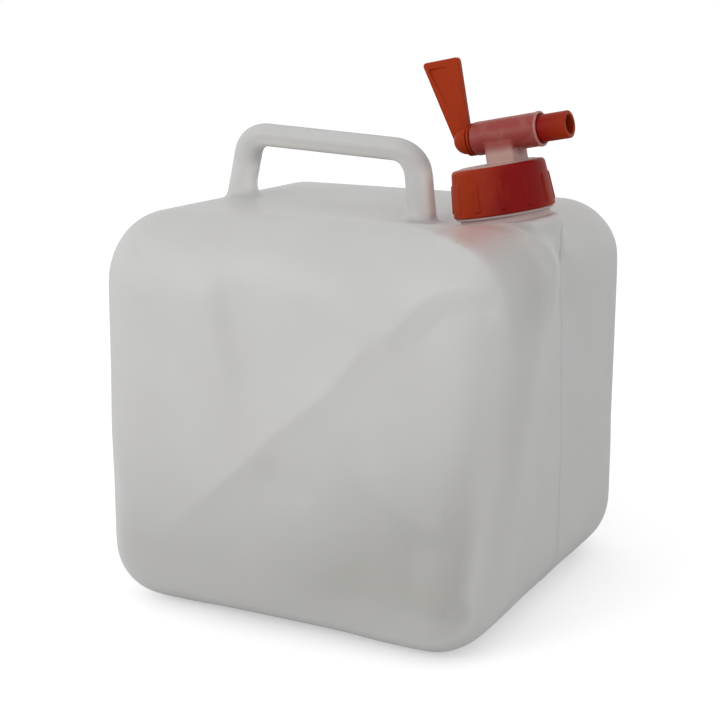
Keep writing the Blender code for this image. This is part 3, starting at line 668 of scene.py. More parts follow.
# Folds that the soft walls keep. Each runs along a line of places on its face, in millimetres across and up,
# as seen from outside, and stands this high over the face, or sinks when negative. A step is high on its left
# and low on its right. It reaches so far to the left and right of its line. Tip is how blunt its ridge is,
# fade how far its two ends take to run out, and foot how hollow its flanks are.
folds = {
    "front": [
        {"line": [(-93, 36), (-60, 63), (-31, 90), (-7, 113), (16, 132), (39, 160), (56, 184)],
         "height": 5.8, "reach": (95, 82), "tip": 1.8, "fade": (30, 34), "foot": 1.45},
        {"line": [(-60, 63), (-31, 90), (-7, 113), (16, 132), (39, 160)],
         "height": 1.1, "reach": (20, 14), "tip": 0.5, "fade": (20, 20), "foot": 2.0},
        {"line": [(-45, 196), (-41, 178), (-38, 158), (-34, 140), (-33, 118), (-36, 92)],
         "step": -4.4, "reach": (30, 46), "tip": 7.5, "fade": (24, 50), "foot": 1.6},
        {"line": [(93, 176), (93, 153), (93, 134), (93, 115), (93, 96), (91, 76), (88, 60)],
         "height": -0.7, "reach": (16, 9), "tip": 3.0, "fade": (18, 40), "foot": 2.0},
        {"line": [(40, 150), (52, 168), (64, 180), (80, 186), (97, 184)],
         "height": 1.0, "reach": (14, 8), "tip": 1.2, "fade": (18, 8), "foot": 2.0},
        {"line": [(56, 152), (66, 165), (75, 173), (87, 176), (97, 176)],
         "height": -0.9, "reach": (7, 20), "tip": 1.5, "fade": (18, 6), "foot": 2.0},
        {"line": [(24, 100), (37, 90), (45, 81), (55, 74), (70, 67), (84, 66)],
         "step": 3.2, "reach": (30, 30), "tip": 5.0, "fade": (22, 14), "foot": 1.6},
        {"line": [(56, 72), (60, 52), (59, 39), (65, 29), (78, 26), (90, 33)],
         "height": -1.8, "reach": (11, 16), "tip": 3.0, "fade": (16, 12), "foot": 2.0},
        {"line": [(-22, 95), (-6, 84), (10, 74)],
         "height": -2.0, "reach": (15, 16), "tip": 3.5, "fade": (14, 14), "foot": 2.0},
        {"line": [(6, 72), (14, 50), (26, 28)],
         "height": 1.2, "reach": (24, 24), "tip": 2.0, "fade": (22, 20), "foot": 1.6},
        {"line": [(-99, 203), (-90, 195), (-80, 187)],
         "height": -0.6, "reach": (6, 6), "tip": 1.5, "fade": (8, 8), "foot": 2.0},
        {"line": [(-96, 180), (-86, 175), (-75, 171)],
         "height": 0.5, "reach": (6, 6), "tip": 1.5, "fade": (8, 8), "foot": 2.0},
    ],
    "right": [
        {"line": [(-51, 63), (-10, 98), (39, 130)],
         "height": 1.2, "reach": (50, 50), "tip": 6.0, "fade": (25, 25), "foot": 1.6},
        {"line": [(60, 168), (66, 120), (72, 63)],
         "height": -0.8, "reach": (22, 22), "tip": 5.0, "fade": (20, 20), "foot": 2.0},
        {"line": [(0, 192), (-5, 175), (-6, 145)],
         "height": -2.4, "reach": (22, 22), "tip": 8.0, "fade": (8, 24), "foot": 2.0},
    ],
    "back": [
        {"line": [(-75, 172), (-30, 133), (10, 96), (62, 50)],
         "height": 4.6, "reach": (85, 80), "tip": 3.5, "fade": (30, 30), "foot": 1.25},
        {"line": [(28, 176), (36, 150), (58, 128)],
         "height": -1.8, "reach": (20, 20), "tip": 4.0, "fade": (18, 18), "foot": 2.0},
        {"line": [(-60, 92), (-50, 70), (-30, 58)],
         "step": 1.8, "reach": (24, 24), "tip": 6.0, "fade": (16, 16), "foot": 1.6},
        {"line": [(80, 96), (84, 130), (82, 165)],
         "height": -1.0, "reach": (12, 12), "tip": 3.0, "fade": (16, 16), "foot": 2.0},
    ],
    "left": [
        {"line": [(-60, 48), (0, 101), (55, 155)],
         "height": 3.4, "reach": (70, 70), "tip": 4.0, "fade": (30, 30), "foot": 1.25},
        {"line": [(-39, 160), (-28, 130), (-20, 105)],
         "step": -1.8, "reach": (20, 30), "tip": 5.0, "fade": (16, 12), "foot": 1.6},
        {"line": [(40, 92), (52, 76), (68, 68)],
         "step": 1.5, "reach": (20, 22), "tip": 6.0, "fade": (14, 14), "foot": 1.6},
    ],
}
# Folds round the neck's shoulder, as places on the skin: the top's front edge, and two that run down beside the neck
shoulderFolds = [
    {"line": [(-56, -89, 210), (-38, -94, 208), (-15, -96, 206), (6, -98, 205), (37, -99, 204), (51, -98, 204),
              (65, -96, 205), (71, -91, 207), (73, -84, 208.6), (72, -74, 209)],
     "height": 0.6, "reach": (6, 18), "tip": 1.0, "fade": (30, 8), "foot": 2.0},
    {"line": [(66, -95, 205.5), (76, -100, 202), (84.5, -103, 199), (89.4, -105.6, 195), (93, -107, 191),
              (97, -107.5, 185), (99, -107, 179), (101, -106, 166), (102, -105, 145)],
     "height": 1.4, "reach": (15, 22), "tip": 1.6, "fade": (8, 26), "foot": 2.0},
    {"line": [(80, -60, 208.3), (89, -63.5, 207), (95, -64, 205), (100, -63, 202.4), (104, -58, 198.5),
              (106, -52, 194.5), (107.5, -47, 190.4), (107.4, -32, 183)],
     "height": 2.2, "reach": (12, 16), "tip": 0.6, "fade": (8, 26), "foot": 2.0},
]
# The face folds end at this height and lie only where the skin looks out of their face
foldFaces = {"top": 196.0, "topFade": 12.0, "facing": 1.6, "facingFrom": 0.45, "walkSteps": 14}


# Rounds a line of places into a smooth walk with even steps
def walkedLine(places):
    places = np.array(places, float)
    padded = np.vstack([2 * places[0] - places[1], places, 2 * places[-1] - places[-2]])
    walked = []
    for i in range(1, len(padded) - 2):
        before, a, b, after = padded[i - 1:i + 3]
        for t in np.linspace(0, 1, foldFaces["walkSteps"], endpoint=False):
            walked.append(0.5 * (2 * a + (b - before) * t + (2 * before - 5 * a + 4 * b - after) * t ** 2
                                 + (3 * a - before - 3 * b + after) * t ** 3))
    walked.append(places[-1])
    return np.array(walked)


# How far each place is off a line, on which side, how far along it, and how long the line is
def besideLine(line, places, outs):
    run = np.concatenate([[0], np.cumsum(np.linalg.norm(np.diff(line, axis=0), axis=1))])
    nearest = np.full(len(places), 1e9)
    side, along = np.zeros(len(places)), np.zeros(len(places))
    for i in range(len(line) - 1):
        way = line[i + 1] - line[i]
        share = np.clip((places - line[i]) @ way / (way @ way), 0, 1)
        off = places - line[i] - share[:, None] * way
        distance = np.linalg.norm(off, axis=1)
        closer = distance < nearest
        nearest[closer] = distance[closer]
        side[closer] = np.sign(np.einsum("ij,ij->i", off[closer], np.cross(outs[closer], way)))
        along[closer] = (run[i] + share * (run[i + 1] - run[i]))[closer]
    return nearest, side, along, run[-1]


def foldLift(fold, places, outs):
    line = walkedLine([tuple(place) + (0,) * (3 - len(place)) for place in fold["line"]])
    left, right = fold["reach"]
    reach = max(left, right)
    close = np.all((places > line.min(0) - reach) & (places < line.max(0) + reach), axis=1)
    nearest, side, along, length = besideLine(line, places[close], outs[close])
    ends = smoothShare(along / fold["fade"][0]) * smoothShare((length - along) / fold["fade"][1])
    blunt = np.sqrt(nearest ** 2 + fold["tip"] ** 2) - fold["tip"]
    foot = (1 - np.clip(blunt / np.where(side > 0, left, right), 0, 1)) ** fold["foot"]
    lift = np.zeros(len(places))
    if "step" in fold:
        lift[close] = fold["step"] / 2 * side * np.tanh(nearest / fold["tip"]) * foot * ends
    else:
        lift[close] = fold["height"] * foot * ends
    return lift


def foldedWalls(points, normals):
    x, y, z = (points - np.array(containerSizes["shift"])).T
    outX, outY = normals[:, 0], normals[:, 1]
    faces = {"front": (-outY, x), "back": (outY, -x), "right": (outX, y), "left": (-outX, -y)}
    below = 1 - smoothShare((z - foldFaces["top"]) / foldFaces["topFade"])
    lift = np.zeros(len(points))
    for name, (facing, across) in faces.items():
        weight = smoothShare(np.maximum(facing, 0) * foldFaces["facing"] - foldFaces["facingFrom"]) * below
        shown = weight > 0
        places = np.stack([across[shown], z[shown], np.zeros(shown.sum())], -1)
        outs = np.tile((0.0, 0.0, 1.0), (len(places), 1))
        lift[shown] += sum(foldLift(fold, places, outs) for fold in folds[name]) * weight[shown]
    lift += sum(foldLift(fold, points, normals) for fold in shoulderFolds)
    return points + normals * lift[:, None]


# The mould's parting line: a raised land with a fine groove along its middle, and a fin of flash below the neck.
# Right and left run between two angles round the body's middle, in degrees, from the underside to the top.
seamSizes = {
    "land": 4.0, "landHeight": 0.30, "sink": 0.7, "groove": 0.6, "grooveNarrow": 3.2, "tuck": 0.05, "point": 0.03,
    "fin": 4.4, "finHeight": 0.9, "finLow": 180.0, "finHigh": 186.0,
    "handleLand": 2.6, "handleHeight": 0.3, "handleClear": 15, "handleFade": 6,
    "middle": 104.0, "right": (-88.0, 45.3), "left": (268.0, 133.0), "step": 0.55, "fade": 8,
    "castFrom": 300.0, "castGuess": 100.0, "relaxTurns": 3, "steps": 20,
}


# A strip runs out to a point at its ends
def seamStrip(name, walk, outs, height, ends, width):
    size = seamSizes
    turns = roundTurns(size["steps"])
    groove = 1 - size["groove"] * np.exp(-(np.cos(turns) * size["grooveNarrow"]) ** 2)
    section = height * (np.maximum(np.sin(turns), 0) * groove) + size["sink"] * np.minimum(np.sin(turns), 0)
    sides = np.cross(np.gradient(walk, axis=0), outs)
    sides /= np.linalg.norm(sides, axis=1)[:, None]
    rise = ends[:, None] * section - size["tuck"] * (1 - ends)[:, None]
    half = width / 2 * np.maximum(ends, size["point"])[:, None] * np.cos(turns)
    return ringPiece(name, walk[:, None] + sides[:, None] * half[:, :, None] + outs[:, None] * rise[:, :, None])


def fadedEnds(count, steps):
    index = np.arange(count)
    return smoothShare(index / steps) * smoothShare((count - 1 - index) / steps)


def seamStrips(skin, handle):
    size = seamSizes
    tree = BVHTree.FromPolygons([v.co / mm for v in skin.data.vertices],
                                [tuple(p.vertices) for p in skin.data.polygons])
    shift = np.array(containerSizes["shift"])

    def wallWalk(angles):
        walk, outs = [], []
        for angle in angles:
            way = Vector((math.cos(angle), 0, math.sin(angle)))
            place = Vector((0, 0, size["middle"])) + way * size["castGuess"]
            for _ in range(2):  # the parting plane is twisted, so where it lies depends on the place found
                spin = math.radians(containerSizes["twist"]) * (1 - place.z / containerSizes["height"])
                start = Vector((0, place.x * math.sin(spin) + shift[1], size["middle"])) + way * size["castFrom"]
                place, normal = tree.ray_cast(start, -way)[:2]
            walk.append(place)
            outs.append(normal)
        walk, outs = np.array(walk), np.array(outs)
        for _ in range(size["relaxTurns"]):
            for line in (outs, walk):
                line[1:-1] = (line[:-2] + 2 * line[1:-1] + line[2:]) / 4
        return walk, outs / np.linalg.norm(outs, axis=1)[:, None]

    strips = []
    for side in ("right", "left"):
        start, end = size[side]
        count = int(abs(end - start) / size["step"])
        walk, outs = wallWalk(np.radians(np.linspace(start, end, count)))
        ends = fadedEnds(count, size["fade"])
        strips.append(seamStrip("seam " + side, walk, outs, size["landHeight"], ends, size["land"]))
        if side == "right":
            high = walk[:, 2] > size["finLow"]
            rise = smoothShare((walk[high, 2] - size["finLow"]) / (size["finHigh"] - size["finLow"])) * ends[high]
            strips.append(seamStrip("seam fin", walk[high], outs[high], size["finHeight"], rise, size["fin"]))
    clear = size["handleClear"]
    for name, column in (("handle seam outside", 0), ("handle seam inside", handleSizes["steps"] // 2)):
        hits = [tree.find_nearest(Vector(place)) for place in handle[clear:-clear, column] + shift]
        walk, outs = (np.array([hit[i] for hit in hits]) for i in (0, 1))
        ends = fadedEnds(len(walk), size["handleFade"])
        strips.append(seamStrip(name, walk, outs, size["handleHeight"], ends, size["handleLand"]))
    return strips


# What the skin's material reads: the moulded place, the painted shade, the painted light where light comes through
# the handle, and the ring's painted shine beside the neck
skinTones = {
    "foldLine": ((-93, 36), (61, 192)), "shadeOver": 80.0, "shadeHeight": 150.0, "shadeRise": 110.0,
    "facing": (0.72, 0.2), "lowShare": 0.75, "lowHeight": 130.0, "footFade": 40.0,
    "shoulder": (88.0, -72.0, 200.0), "shoulderReach": 58.0, "shoulderShare": 0.55, "shoulderFade": 1.6,
    "foldFade": 8.0, "foldOver": 0.4, "collarShine": 0.38, "collarReach": 31.0, "collarFade": 5.0,
    "shine": (79.0, -83.0, 206.0), "shineWidths": (15.0, 25.0, 12.0), "shineShare": 0.66,
    "postRise": 7.0, "postX": 45, "postY": 16, "postTo": 236.0, "postFade": 12.0,
    "postShare": 0.15, "postFarShare": 0.8,
}


# The first points are the wall itself; the neck and the seam strips that follow only lie on it
def paintSkin(skin, wallCount):
    tones = skinTones
    points, normals, _ = meshArrays(skin)
    x, y, z = points.T
    # Painted shade: the wall is painted darker below the long slanting fold of the front, and the same on the back
    (startX, startZ), (endX, endZ) = tones["foldLine"]
    across = -np.sign(normals[:, 1]) * x
    runX, runZ = endX - startX, endZ - startZ
    below = ((across - startX) * runZ - (z - startZ) * runX) / math.hypot(runX, runZ)
    broad = smoothShare((np.abs(normals[:, 1]) - tones["facing"][0]) / tones["facing"][1])
    shadeShare = broad * np.clip(below / tones["shadeOver"], 0, 1)
    shadeShare *= smoothShare((tones["shadeHeight"] - z) / tones["shadeRise"])
    # It is painted darker low on both broad sides too, but not at the foot
    low = broad * tones["lowShare"] * smoothShare((tones["lowHeight"] - z) / tones["lowHeight"])
    shadeShare = np.maximum(shadeShare, low) * smoothShare(z / tones["footFade"])
    # Painted light: the handle's far and lower sides are painted lighter, for light that comes through the thin
    # handle
    feet = (handleSizes["leftX"], handleSizes["rightX"])
    rise = z - np.interp(x, feet, [surfaceHeight(foot) for foot in feet])
    post = smoothShare(rise / tones["postRise"]) * (x < tones["postX"]) * (np.abs(y) < tones["postY"])
    low = smoothShare((tones["postTo"] - z) / tones["postFade"])
    far = smoothShare(np.maximum(normals[:, 0] * low, -normals[:, 2]))
    post *= tones["postShare"] * low + tones["postFarShare"] * far
    # Painted shade: in front of the fold that runs down beside the neck, where the wall is in the ring's shade, it is
    # painted darker
    edge, side = besideLine(walkedLine(shoulderFolds[1]["line"]), points, normals)[:2]
    beside = smoothShare(edge * side / tones["foldFade"] + tones["foldOver"])
    fromShoulder = np.linalg.norm(points - np.array(tones["shoulder"]), axis=1)
    nearby = smoothShare(tones["shoulderFade"] * (1 - fromShoulder / tones["shoulderReach"]))
    shaded = tones["shoulderShare"] * beside * nearby * (y < 0)
    # Painted reflection: the ring's orange light shining through the wall is painted beside the neck and round the
    # collar
    off = (points - np.array(tones["shine"])) / np.array(tones["shineWidths"])
    shine = tones["shineShare"] * np.exp(-(off ** 2).sum(1)) * beside
    fromNeck = np.linalg.norm(points - np.array(neckPlace.translation) / mm, axis=1)
    collar = tones["collarShine"] * smoothShare((tones["collarReach"] - fromNeck) / tones["collarFade"])
    paintPoints(skin, "mouldedPlace", points * mm)
    # Painted shade: darker low on the broad sides, below the front fold and beside the neck
    paintPoints(skin, "paintedShade", np.maximum(shadeShare, shaded))
    paintPoints(skin, "solidWall", (np.arange(len(points)) < wallCount).astype(float))
    # Painted light on the handle's shaded far and lower sides
    paintPoints(skin, "paintedPostLight", post)
    paintPoints(skin, "ringShine", np.maximum(shine, collar))


def containerSkin():
    size = containerSizes
    shift = Matrix.Translation(Vector(size["shift"]) * mm)
    handle = handleRings()
    shapes = {"water_container": bodyRings(), "handle": handle, "pedestal": pedestalRings()}
    skin = melted(joined([ringPiece(name, rings, shift) for name, rings in shapes.items()]), size["voxel"])
    points, _, edges = meshArrays(skin)
    body = 1 - smoothShare((points[:, 2] - size["relaxFrom"]) / size["relaxOver"])
    setPoints(skin, relaxed(points, edges, size["relaxTop"] + size["relaxBelow"] * body, size["relaxTurns"]))
    points, normals, _ = meshArrays(skin)
    setPoints(skin, foldedWalls(points, normals))
    skin = joined([skin, neckPiece()] + seamStrips(skin, handle))
    paintSkin(skin, len(points))
    return skin


ldpe = naturalPolyethylene()
container = dressed(containerSkin(), ldpe)
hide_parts("container_base", "container_wall", "container_top")
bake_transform(container)
print("container made,", len(container.data.polygons), "faces")


ringSizes = {
    "bore": 23.6, "radius": 26.8, "taper": 2.3, "height": 24.4, "hole": 20.6, "ceiling": 22.4, "round": 1.8,
    "edge": 0.4, "edgeTip": 0.12, "holeEdge": 0.3, "steps": 720,
    "ribs": 12, "ribTurn": -75.65, "ribHeight": 0.6, "ribLow": 2.3, "ribTop": 17.0, "ribFoot": 1.5, "ribHead": 0.75,
    "ribFlank": 0.35, "ribStart": 0.5, "ribEnd": 0.9,
    "pitch": 4.5, "threadDepth": 1.6, "threadStart": 4.15, "threadTurns": 1.5, "threadHalf": 1.1,
    "threadFlank": 0.6, "threadFade": 0.2, "footLevels": 10, "wallLevels": 48, "threadLevels": 70,
}


def screwRing():
    size = ringSizes
    bore, height, rounding, edge = size["bore"], size["height"], size["round"], size["edge"]
    ribLow, ribTop, hole, ceiling = size["ribLow"], size["ribTop"], size["hole"], size["ceiling"]

    def cone(h):
        return size["radius"] - size["taper"] * h / height

    # Its levels are closer together where the ribs start
    levels = np.concatenate([np.linspace(0.5, ribLow + 0.8, size["footLevels"]),
                             np.linspace(ribLow + 1.2, height - rounding, size["wallLevels"])])
    profile = [(bore + edge, 0.0), (cone(0) - edge, 0.0), (cone(0) - size["edgeTip"], size["edgeTip"])]
    profile += [(cone(h), h) for h in levels]
    profile += filletArc(cone(height) - rounding, height - rounding, rounding, 8, 90, 8)
    profile += [(hole + size["holeEdge"], height), (hole, height - size["holeEdge"])]
    profile += [(hole, ceiling), (bore, ceiling)]
    profile += [(bore, h) for h in np.linspace(ceiling - edge, edge, size["threadLevels"])]
    rings = turnedRings(profile, size["steps"])
    turns = roundTurns(size["steps"])
    gap = 2 * math.pi / size["ribs"]
    offTurn = (turns - math.radians(size["ribTurn"]) + gap / 2) % gap - gap / 2
    for row, (radius, h) in enumerate(profile):
        if radius > bore + 1 and 0.3 < h < height - 0.2:  # outside, where the ribs stand
            rise = np.clip((h - ribLow) / (ribTop - ribLow), 0, 1)
            half = size["ribFoot"] + (size["ribHead"] - size["ribFoot"]) * rise
            flank = smoothShare((half - np.abs(offTurn) * radius) / size["ribFlank"] + 0.5)
            ends = smoothShare((h - ribLow) / size["ribStart"]) * smoothShare((ribTop + 0.5 - h) / size["ribEnd"])
            lift = size["ribHeight"] * flank * ends
        elif abs(radius - bore) < 0.01:  # inside, where the thread stands
            lift = -size["threadDepth"] * threadShare(size, h, turns)
        else:
            continue
        rings[row, :, :2] *= 1 + lift[:, None] / radius
    return ringPiece("ribbed_screw_ring", rings, neckPlace, closed=True)


orange = orangePolyethylene()
ring = dressed(screwRing(), orange)
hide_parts("screw_ring")
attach(ring, "ring")
print("screw ring made,", len(ring.data.polygons), "faces")


axisHole = 0.05  # a turned profile starts and ends this far off its axis
tapSizes = {
    "flangeLow": 19.8, "flangeTop": 21.8, "flangeRadius": 23.2, "boss": 20.25, "bossTop": 25.1, "bossRound": 0.7,
    "blockOffset": 6.0, "blockLength": 16.6, "blockDepth": 18.0, "blockTop": 36.0, "blockRound": 1.8,
    "blockSink": 0.5, "barrelHeight": 39.1, "barrel": 8.8, "left": 10.4, "right": 28.0, "wall": 1.1,
    "rimWidth": 1.6, "rimHeight": 0.35, "rimRound": 0.5, "endRound": 1.6, "duct": 4.2, "overrun": 2.0,
    "steps": 96, "voxel": 0.42, "smoothing": 3,
    "thickFrom": 0.5, "thickOver": 4.0, "rimTone": 0.55, "rimToneWidth": 1.4, "rimToneFade": 0.8,
    "endTone": 0.35, "endToneWidth": 1.6,
}


def roundedBlock(length, depth, low, high, radius, offset, steps=7):
    outline = []
    for sideX, sideY, start in ((1, -1, -90), (1, 1, 0), (-1, 1, 90), (-1, -1, 180)):
        for angle in np.radians(np.linspace(start, start + 90, steps)):
            outline.append((offset + sideX * (length / 2 - radius) + radius * math.cos(angle),
                            sideY * (depth / 2 - radius) + radius * math.sin(angle)))
    outline = np.array(outline)
    return np.stack([np.column_stack([outline, np.full(len(outline), z)]) for z in (low, high)])


def tapBody():
    size = tapSizes
    left, right, edge, over = size["left"], size["right"], size["rimRound"], size["overrun"]
    flangeLow, flangeTop, flange = size["flangeLow"], size["flangeTop"], size["flangeRadius"]
    boss, bossTop, bossRound, endRound = size["boss"], size["bossTop"], size["bossRound"], size["endRound"]
    disc = [(axisHole, flangeLow), (flange, flangeLow), (flange, flangeTop), (boss, flangeTop)]
    disc += filletArc(boss - bossRound, bossTop - bossRound, bossRound, 0, 90, 5) + [(axisHole, bossTop)]
    outer, rim = size["barrel"], size["barrel"] + size["rimHeight"]
    barrel = [(axisHole, -left), (outer - endRound, -left)]
    barrel += filletArc(outer - endRound, -left + endRound, endRound, -90, 0, 6)
    barrel += [(outer, right - size["rimWidth"] - edge), (rim, right - size["rimWidth"])]
    barrel += filletArc(rim - edge, right - edge, edge, 0, 90, 4) + [(axisHole, right)]
    block = roundedBlock(size["blockLength"], size["blockDepth"], flangeTop - size["blockSink"], size["blockTop"],
                         size["blockRound"], size["blockOffset"])
    bore = [(outer - size["wall"], -left - over), (outer - size["wall"], right + over)]
    duct = [(size["duct"], flangeLow - over), (size["duct"], size["barrelHeight"])]
    lifted = tapPlace @ Matrix.Translation((0, 0, size["barrelHeight"] * mm))
    ductPlace = tapPlace @ Matrix.Translation((size["blockOffset"] * mm, 0, 0))
    body = ringPiece("frosted_tap_body", turnedRings(disc, size["steps"]), tapPlace)
    carve(body, [ringPiece("stem", block, tapPlace),
                 ringPiece("barrel", turnedAlong(barrel, size["steps"]), lifted)], "UNION")
    carve(body, [ringPiece("barrel bore", turnedAlong(bore, size["steps"]), lifted),
                 ringPiece("duct", turnedRings(duct, size["steps"] // 2), ductPlace)], "DIFFERENCE")
    melted(body, size["voxel"], size["smoothing"])
    # The stem and flange are thick, and the barrel's two ends show as milkier rims
    points = meshArrays(body)[0]
    fromLever = (points - np.array(leverPlace.translation) / mm) @ np.array(leverPlace.to_3x3())
    offAxis, along = np.linalg.norm(fromLever[:, 1:], axis=1), fromLever[:, 0]
    paintPoints(body, "thickness", smoothShare((offAxis - outer - size["thickFrom"]) / size["thickOver"]))
    rightRim = size["rimTone"] * smoothShare((along - right + size["rimToneWidth"]) / size["rimToneFade"])
    leftRim = size["endTone"] * smoothShare((size["endToneWidth"] - left - along) / size["endToneWidth"])
    paintPoints(body, "rims", np.maximum(rightRim, leftRim))
    return body


frosted = clearPolypropylene()
tap = dressed(tapBody(), frosted)
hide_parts("tap_body")
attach(tap, "tap")
print("tap body made,", len(tap.data.polygons), "faces")


plugSizes = {
    "left": 10.4, "right": 28.0, "play": 0.3, "radius": 7.05, "bore": 5.0, "wall": 4.5, "spout": 15.3,
    "mouthRound": 0.5, "knob": 7.3, "knobLength": 4.5, "knobDome": 7.2,
    "collars": 2, "collar": 8.5, "collarWidth": 1.3, "collarSpace": 0.8, "collarEdge": 0.2,
    "inner": -12.7, "reach": 43.4, "topWidth": 21.5, "baseWidth": 9.3, "thickness": 4.2, "cornerRound": 2.6,
    "footRound": 0.01, "edgeRound": 0.9,
    "panel": [(-31.0, 39.6), (-19.8, 39.6), (-16.0, 22.0), (-16.4, 10.0), (-19.8, 10.0)],
    "panelRound": 1.6, "panelDeep": 1.1, "panelShallow": 0.1,
    "port": 4.2, "portOffset": 6.0, "portReach": 9.5, "overrun": 2.0, "steps": 96, "boreSteps": 64, "portSteps": 48,
    "domeSteps": 14, "domeTurn": 88, "voxel": 0.34, "smoothing": 1,
}


def roundedOutline(corners, steps=8):
    outline = []
    places = [np.array(corner[:2], float) for corner in corners]
    for index, here in enumerate(places):
        rounding = corners[index][2]
        before, after = places[index - 1], places[(index + 1) % len(places)]
        start = here + (before - here) / np.linalg.norm(before - here) * rounding
        end = here + (after - here) / np.linalg.norm(after - here) * rounding
        for t in np.linspace(0, 1, steps + 1):
            outline.append(start * (1 - t) ** 2 + here * 2 * t * (1 - t) + end * t ** 2)
    return np.array(outline)


# An outline in the lever's plane, at these places through its thickness
def plateRing(outline, through):
    return np.stack([outline[:, 0], np.broadcast_to(through, len(outline)), outline[:, 1]], -1)


# A plate of the outline, drawn in along its edges for a round rim
def plateRings(corners, thickness, edge, steps=9):
    outline = roundedOutline(corners)
    toMiddle = outline.mean(0) - outline
    inward = toMiddle / np.linalg.norm(toMiddle, axis=1)[:, None]
    rings = []
    for angle in np.linspace(-90, 90, steps):
        drawn = edge * (1 - math.cos(math.radians(angle)))
        y = math.copysign(thickness / 2 - edge, angle) + edge * math.sin(math.radians(angle)) if angle else 0.0
        rings.append(plateRing(outline + inward * drawn, y))
    return np.stack(rings)


def leverPlug():
    size = plugSizes
    radius, knob, edge, mouth = size["radius"], size["knob"], size["collarEdge"], size["mouthRound"]
    start, end = -size["left"] - size["play"], size["right"] + size["spout"]
    profile = [(axisHole, end)] + filletArc(radius - mouth, end - mouth, mouth, 90, 0, 4) + [(radius, start)]
    x = start
    for _ in range(size["collars"]):
        tall, far = size["collar"], x - size["collarWidth"]
        profile += [(tall - edge, x), (tall, x - edge), (tall, far + edge), (tall - edge, far), (knob, far),
                    (knob, far - size["collarSpace"])]
        x -= size["collarWidth"] + size["collarSpace"]
    dome = start - size["knobLength"]
    for angle in np.radians(np.linspace(0, size["domeTurn"], size["domeSteps"])):
        profile.append((knob * math.cos(angle), dome - size["knobDome"] * math.sin(angle)))
    plug = ringPiece("lever_and_plug", turnedAlong(profile, size["steps"]), leverPlace)
    inner, reach, foot, corner = size["inner"], size["reach"], size["footRound"], size["cornerRound"]
    lever = plateRings([(inner, 0, foot), (inner, reach, corner), (inner - size["topWidth"], reach, corner),
                        (inner - size["baseWidth"], 0, foot)], size["thickness"], size["edgeRound"])
    carve(plug, [ringPiece("lever", lever, leverPlace)], "UNION")
    # The port is on the far side alone: a through port would show as a white hole through the barrel
    bore = turnedAlong([(size["bore"], -size["left"] + size["wall"]), (size["bore"], end + size["overrun"])],
                       size["boreSteps"])
    port = turnedRings([(size["port"], -size["portReach"]), (size["port"], 0.0)], size["portSteps"])
    portPlace = leverPlace @ Matrix.Translation((size["portOffset"] * mm, 0, 0))
    portPlace = portPlace @ Matrix.Rotation(math.pi / 2, 4, "X")
    cutters = [ringPiece("spout bore", bore, leverPlace), ringPiece("port", port, portPlace)]
    # The hand's recess on either side: deep along its outer edge and running out towards the knob's side
    outline = roundedOutline([(x, z, size["panelRound"]) for x, z in size["panel"]])
    across = (outline[:, 0] - outline[:, 0].min()) / np.ptp(outline[:, 0])
    depth = size["panelDeep"] + (size["panelShallow"] - size["panelDeep"]) * across
    for side in (-1, 1):
        face = side * size["thickness"] / 2
        recess = np.stack([plateRing(outline, face + side), plateRing(outline, face - side * depth)])
        cutters.append(ringPiece("lever recess", recess, leverPlace))
    carve(plug, cutters, "DIFFERENCE")
    return melted(plug, size["voxel"], size["smoothing"])


plug = dressed(leverPlug(), orange)
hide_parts("lever_plug")
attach(plug, "plug")
print("plug made,", len(plug.data.polygons), "faces")


dressed(frame["nodes"]["neck_gasket"], sealFoam())
print("seal dressed")


# The floor is white to the camera, with a part of it from its own glow. Its fibre clumps are in millimetres,
# its half width and the gap below the pads in metres.
stageLook = {
    "floor": "#ebebeb", "floorFibre": "#eeeeee", "fibreSize": 1 / 0.7, "floorGlow": 0.40, "floorHalf": 20,
    "floorGap": 0.0006, "worldLight": 0.78, "lampWhite": "#ffffff",
}
# Each lamp: place, aim and width in millimetres, power in watts
lamps = {
    "broad soft key, left of the camera": ((-560, -1270, 700), (0, -50, 110), 900, 5.8),
}


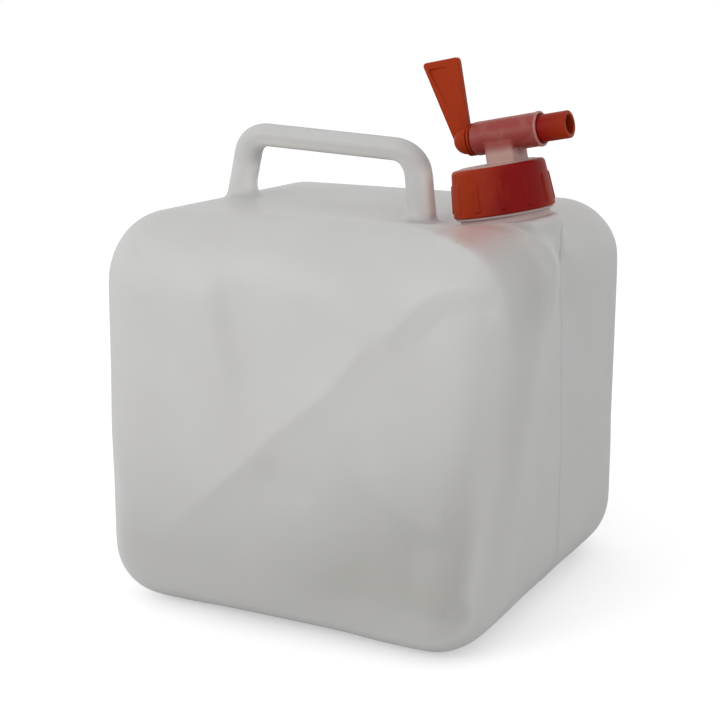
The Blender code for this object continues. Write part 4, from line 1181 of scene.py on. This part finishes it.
def backdropPaper():
    look = stageLook
    material, tree = startMaterial("matt paper backdrop, rolled")
    fibres = addNode(tree, "ShaderNodeTexNoise", {"Scale": 1 / (look["fibreSize"] * mm), "Detail": 2.0})
    tone = addNode(tree, "ShaderNodeMix", {
        0: fibres.outputs[0], 6: linearColour(look["floor"]), 7: linearColour(look["floorFibre"])}, data_type="RGBA")
    paper = addNode(tree, "ShaderNodeBsdfDiffuse", {"Color": tone.outputs[2]})
    ray = addNode(tree, "ShaderNodeLightPath")
    seen = addNode(tree, "ShaderNodeMath", {0: ray.outputs["Is Camera Ray"], 1: look["floorGlow"]},
                   operation="MULTIPLY")
    glow = addNode(tree, "ShaderNodeEmission", {"Color": (1, 1, 1, 1), "Strength": seen.outputs[0]})
    closeMaterial(tree, addNode(tree, "ShaderNodeAddShader", {0: paper.outputs[0], 1: glow.outputs[0]}))
    return material


# White to the camera and in reflections and clear plastic, and dimmer as a light
def studioWorld():
    world = bpy.data.worlds.new("studio")
    world.use_nodes = True
    tree = world.node_tree
    tree.nodes.clear()
    ray = addNode(tree, "ShaderNodeLightPath").outputs
    direct = addNode(tree, "ShaderNodeMath", {0: ray["Is Camera Ray"], 1: ray["Is Glossy Ray"]}, operation="MAXIMUM")
    anySeen = addNode(tree, "ShaderNodeMath", {0: direct.outputs[0], 1: ray["Is Transmission Ray"]},
                      operation="MAXIMUM")
    level = addNode(tree, "ShaderNodeMapRange", {
        "Value": anySeen.outputs[0], "To Min": stageLook["worldLight"], "To Max": 1.0})
    sky = addNode(tree, "ShaderNodeBackground", {"Color": (1, 1, 1, 1), "Strength": level.outputs[0]})
    addNode(tree, "ShaderNodeOutputWorld", {"Surface": sky.outputs[0]})
    return world


def setStage():
    half, gap = stageLook["floorHalf"], stageLook["floorGap"]
    paper = backdropPaper()
    corners = [(-half, -half, -gap), (half, -half, -gap), (half, half, -gap), (-half, half, -gap)]
    dressed(meshPiece("backdrop floor", corners, [(0, 1, 2, 3)]), paper)
    bpy.context.scene.world = studioWorld()
    for name, (place, aim, width, power) in lamps.items():
        lamp = bpy.data.lights.new(name, "AREA")
        lamp.shape, lamp.size, lamp.energy = "DISK", width * mm, power
        lamp.color = linearColour(stageLook["lampWhite"])[:3]
        holder = bpy.data.objects.new(name, lamp)
        holder.location = Vector(place) * mm
        holder.rotation_euler = (Vector(aim) - Vector(place)).to_track_quat("-Z", "Y").to_euler()
        bpy.context.scene.collection.objects.link(holder)


setStage()
bpy.context.scene.view_settings.view_transform = "Standard"
print("stage set")
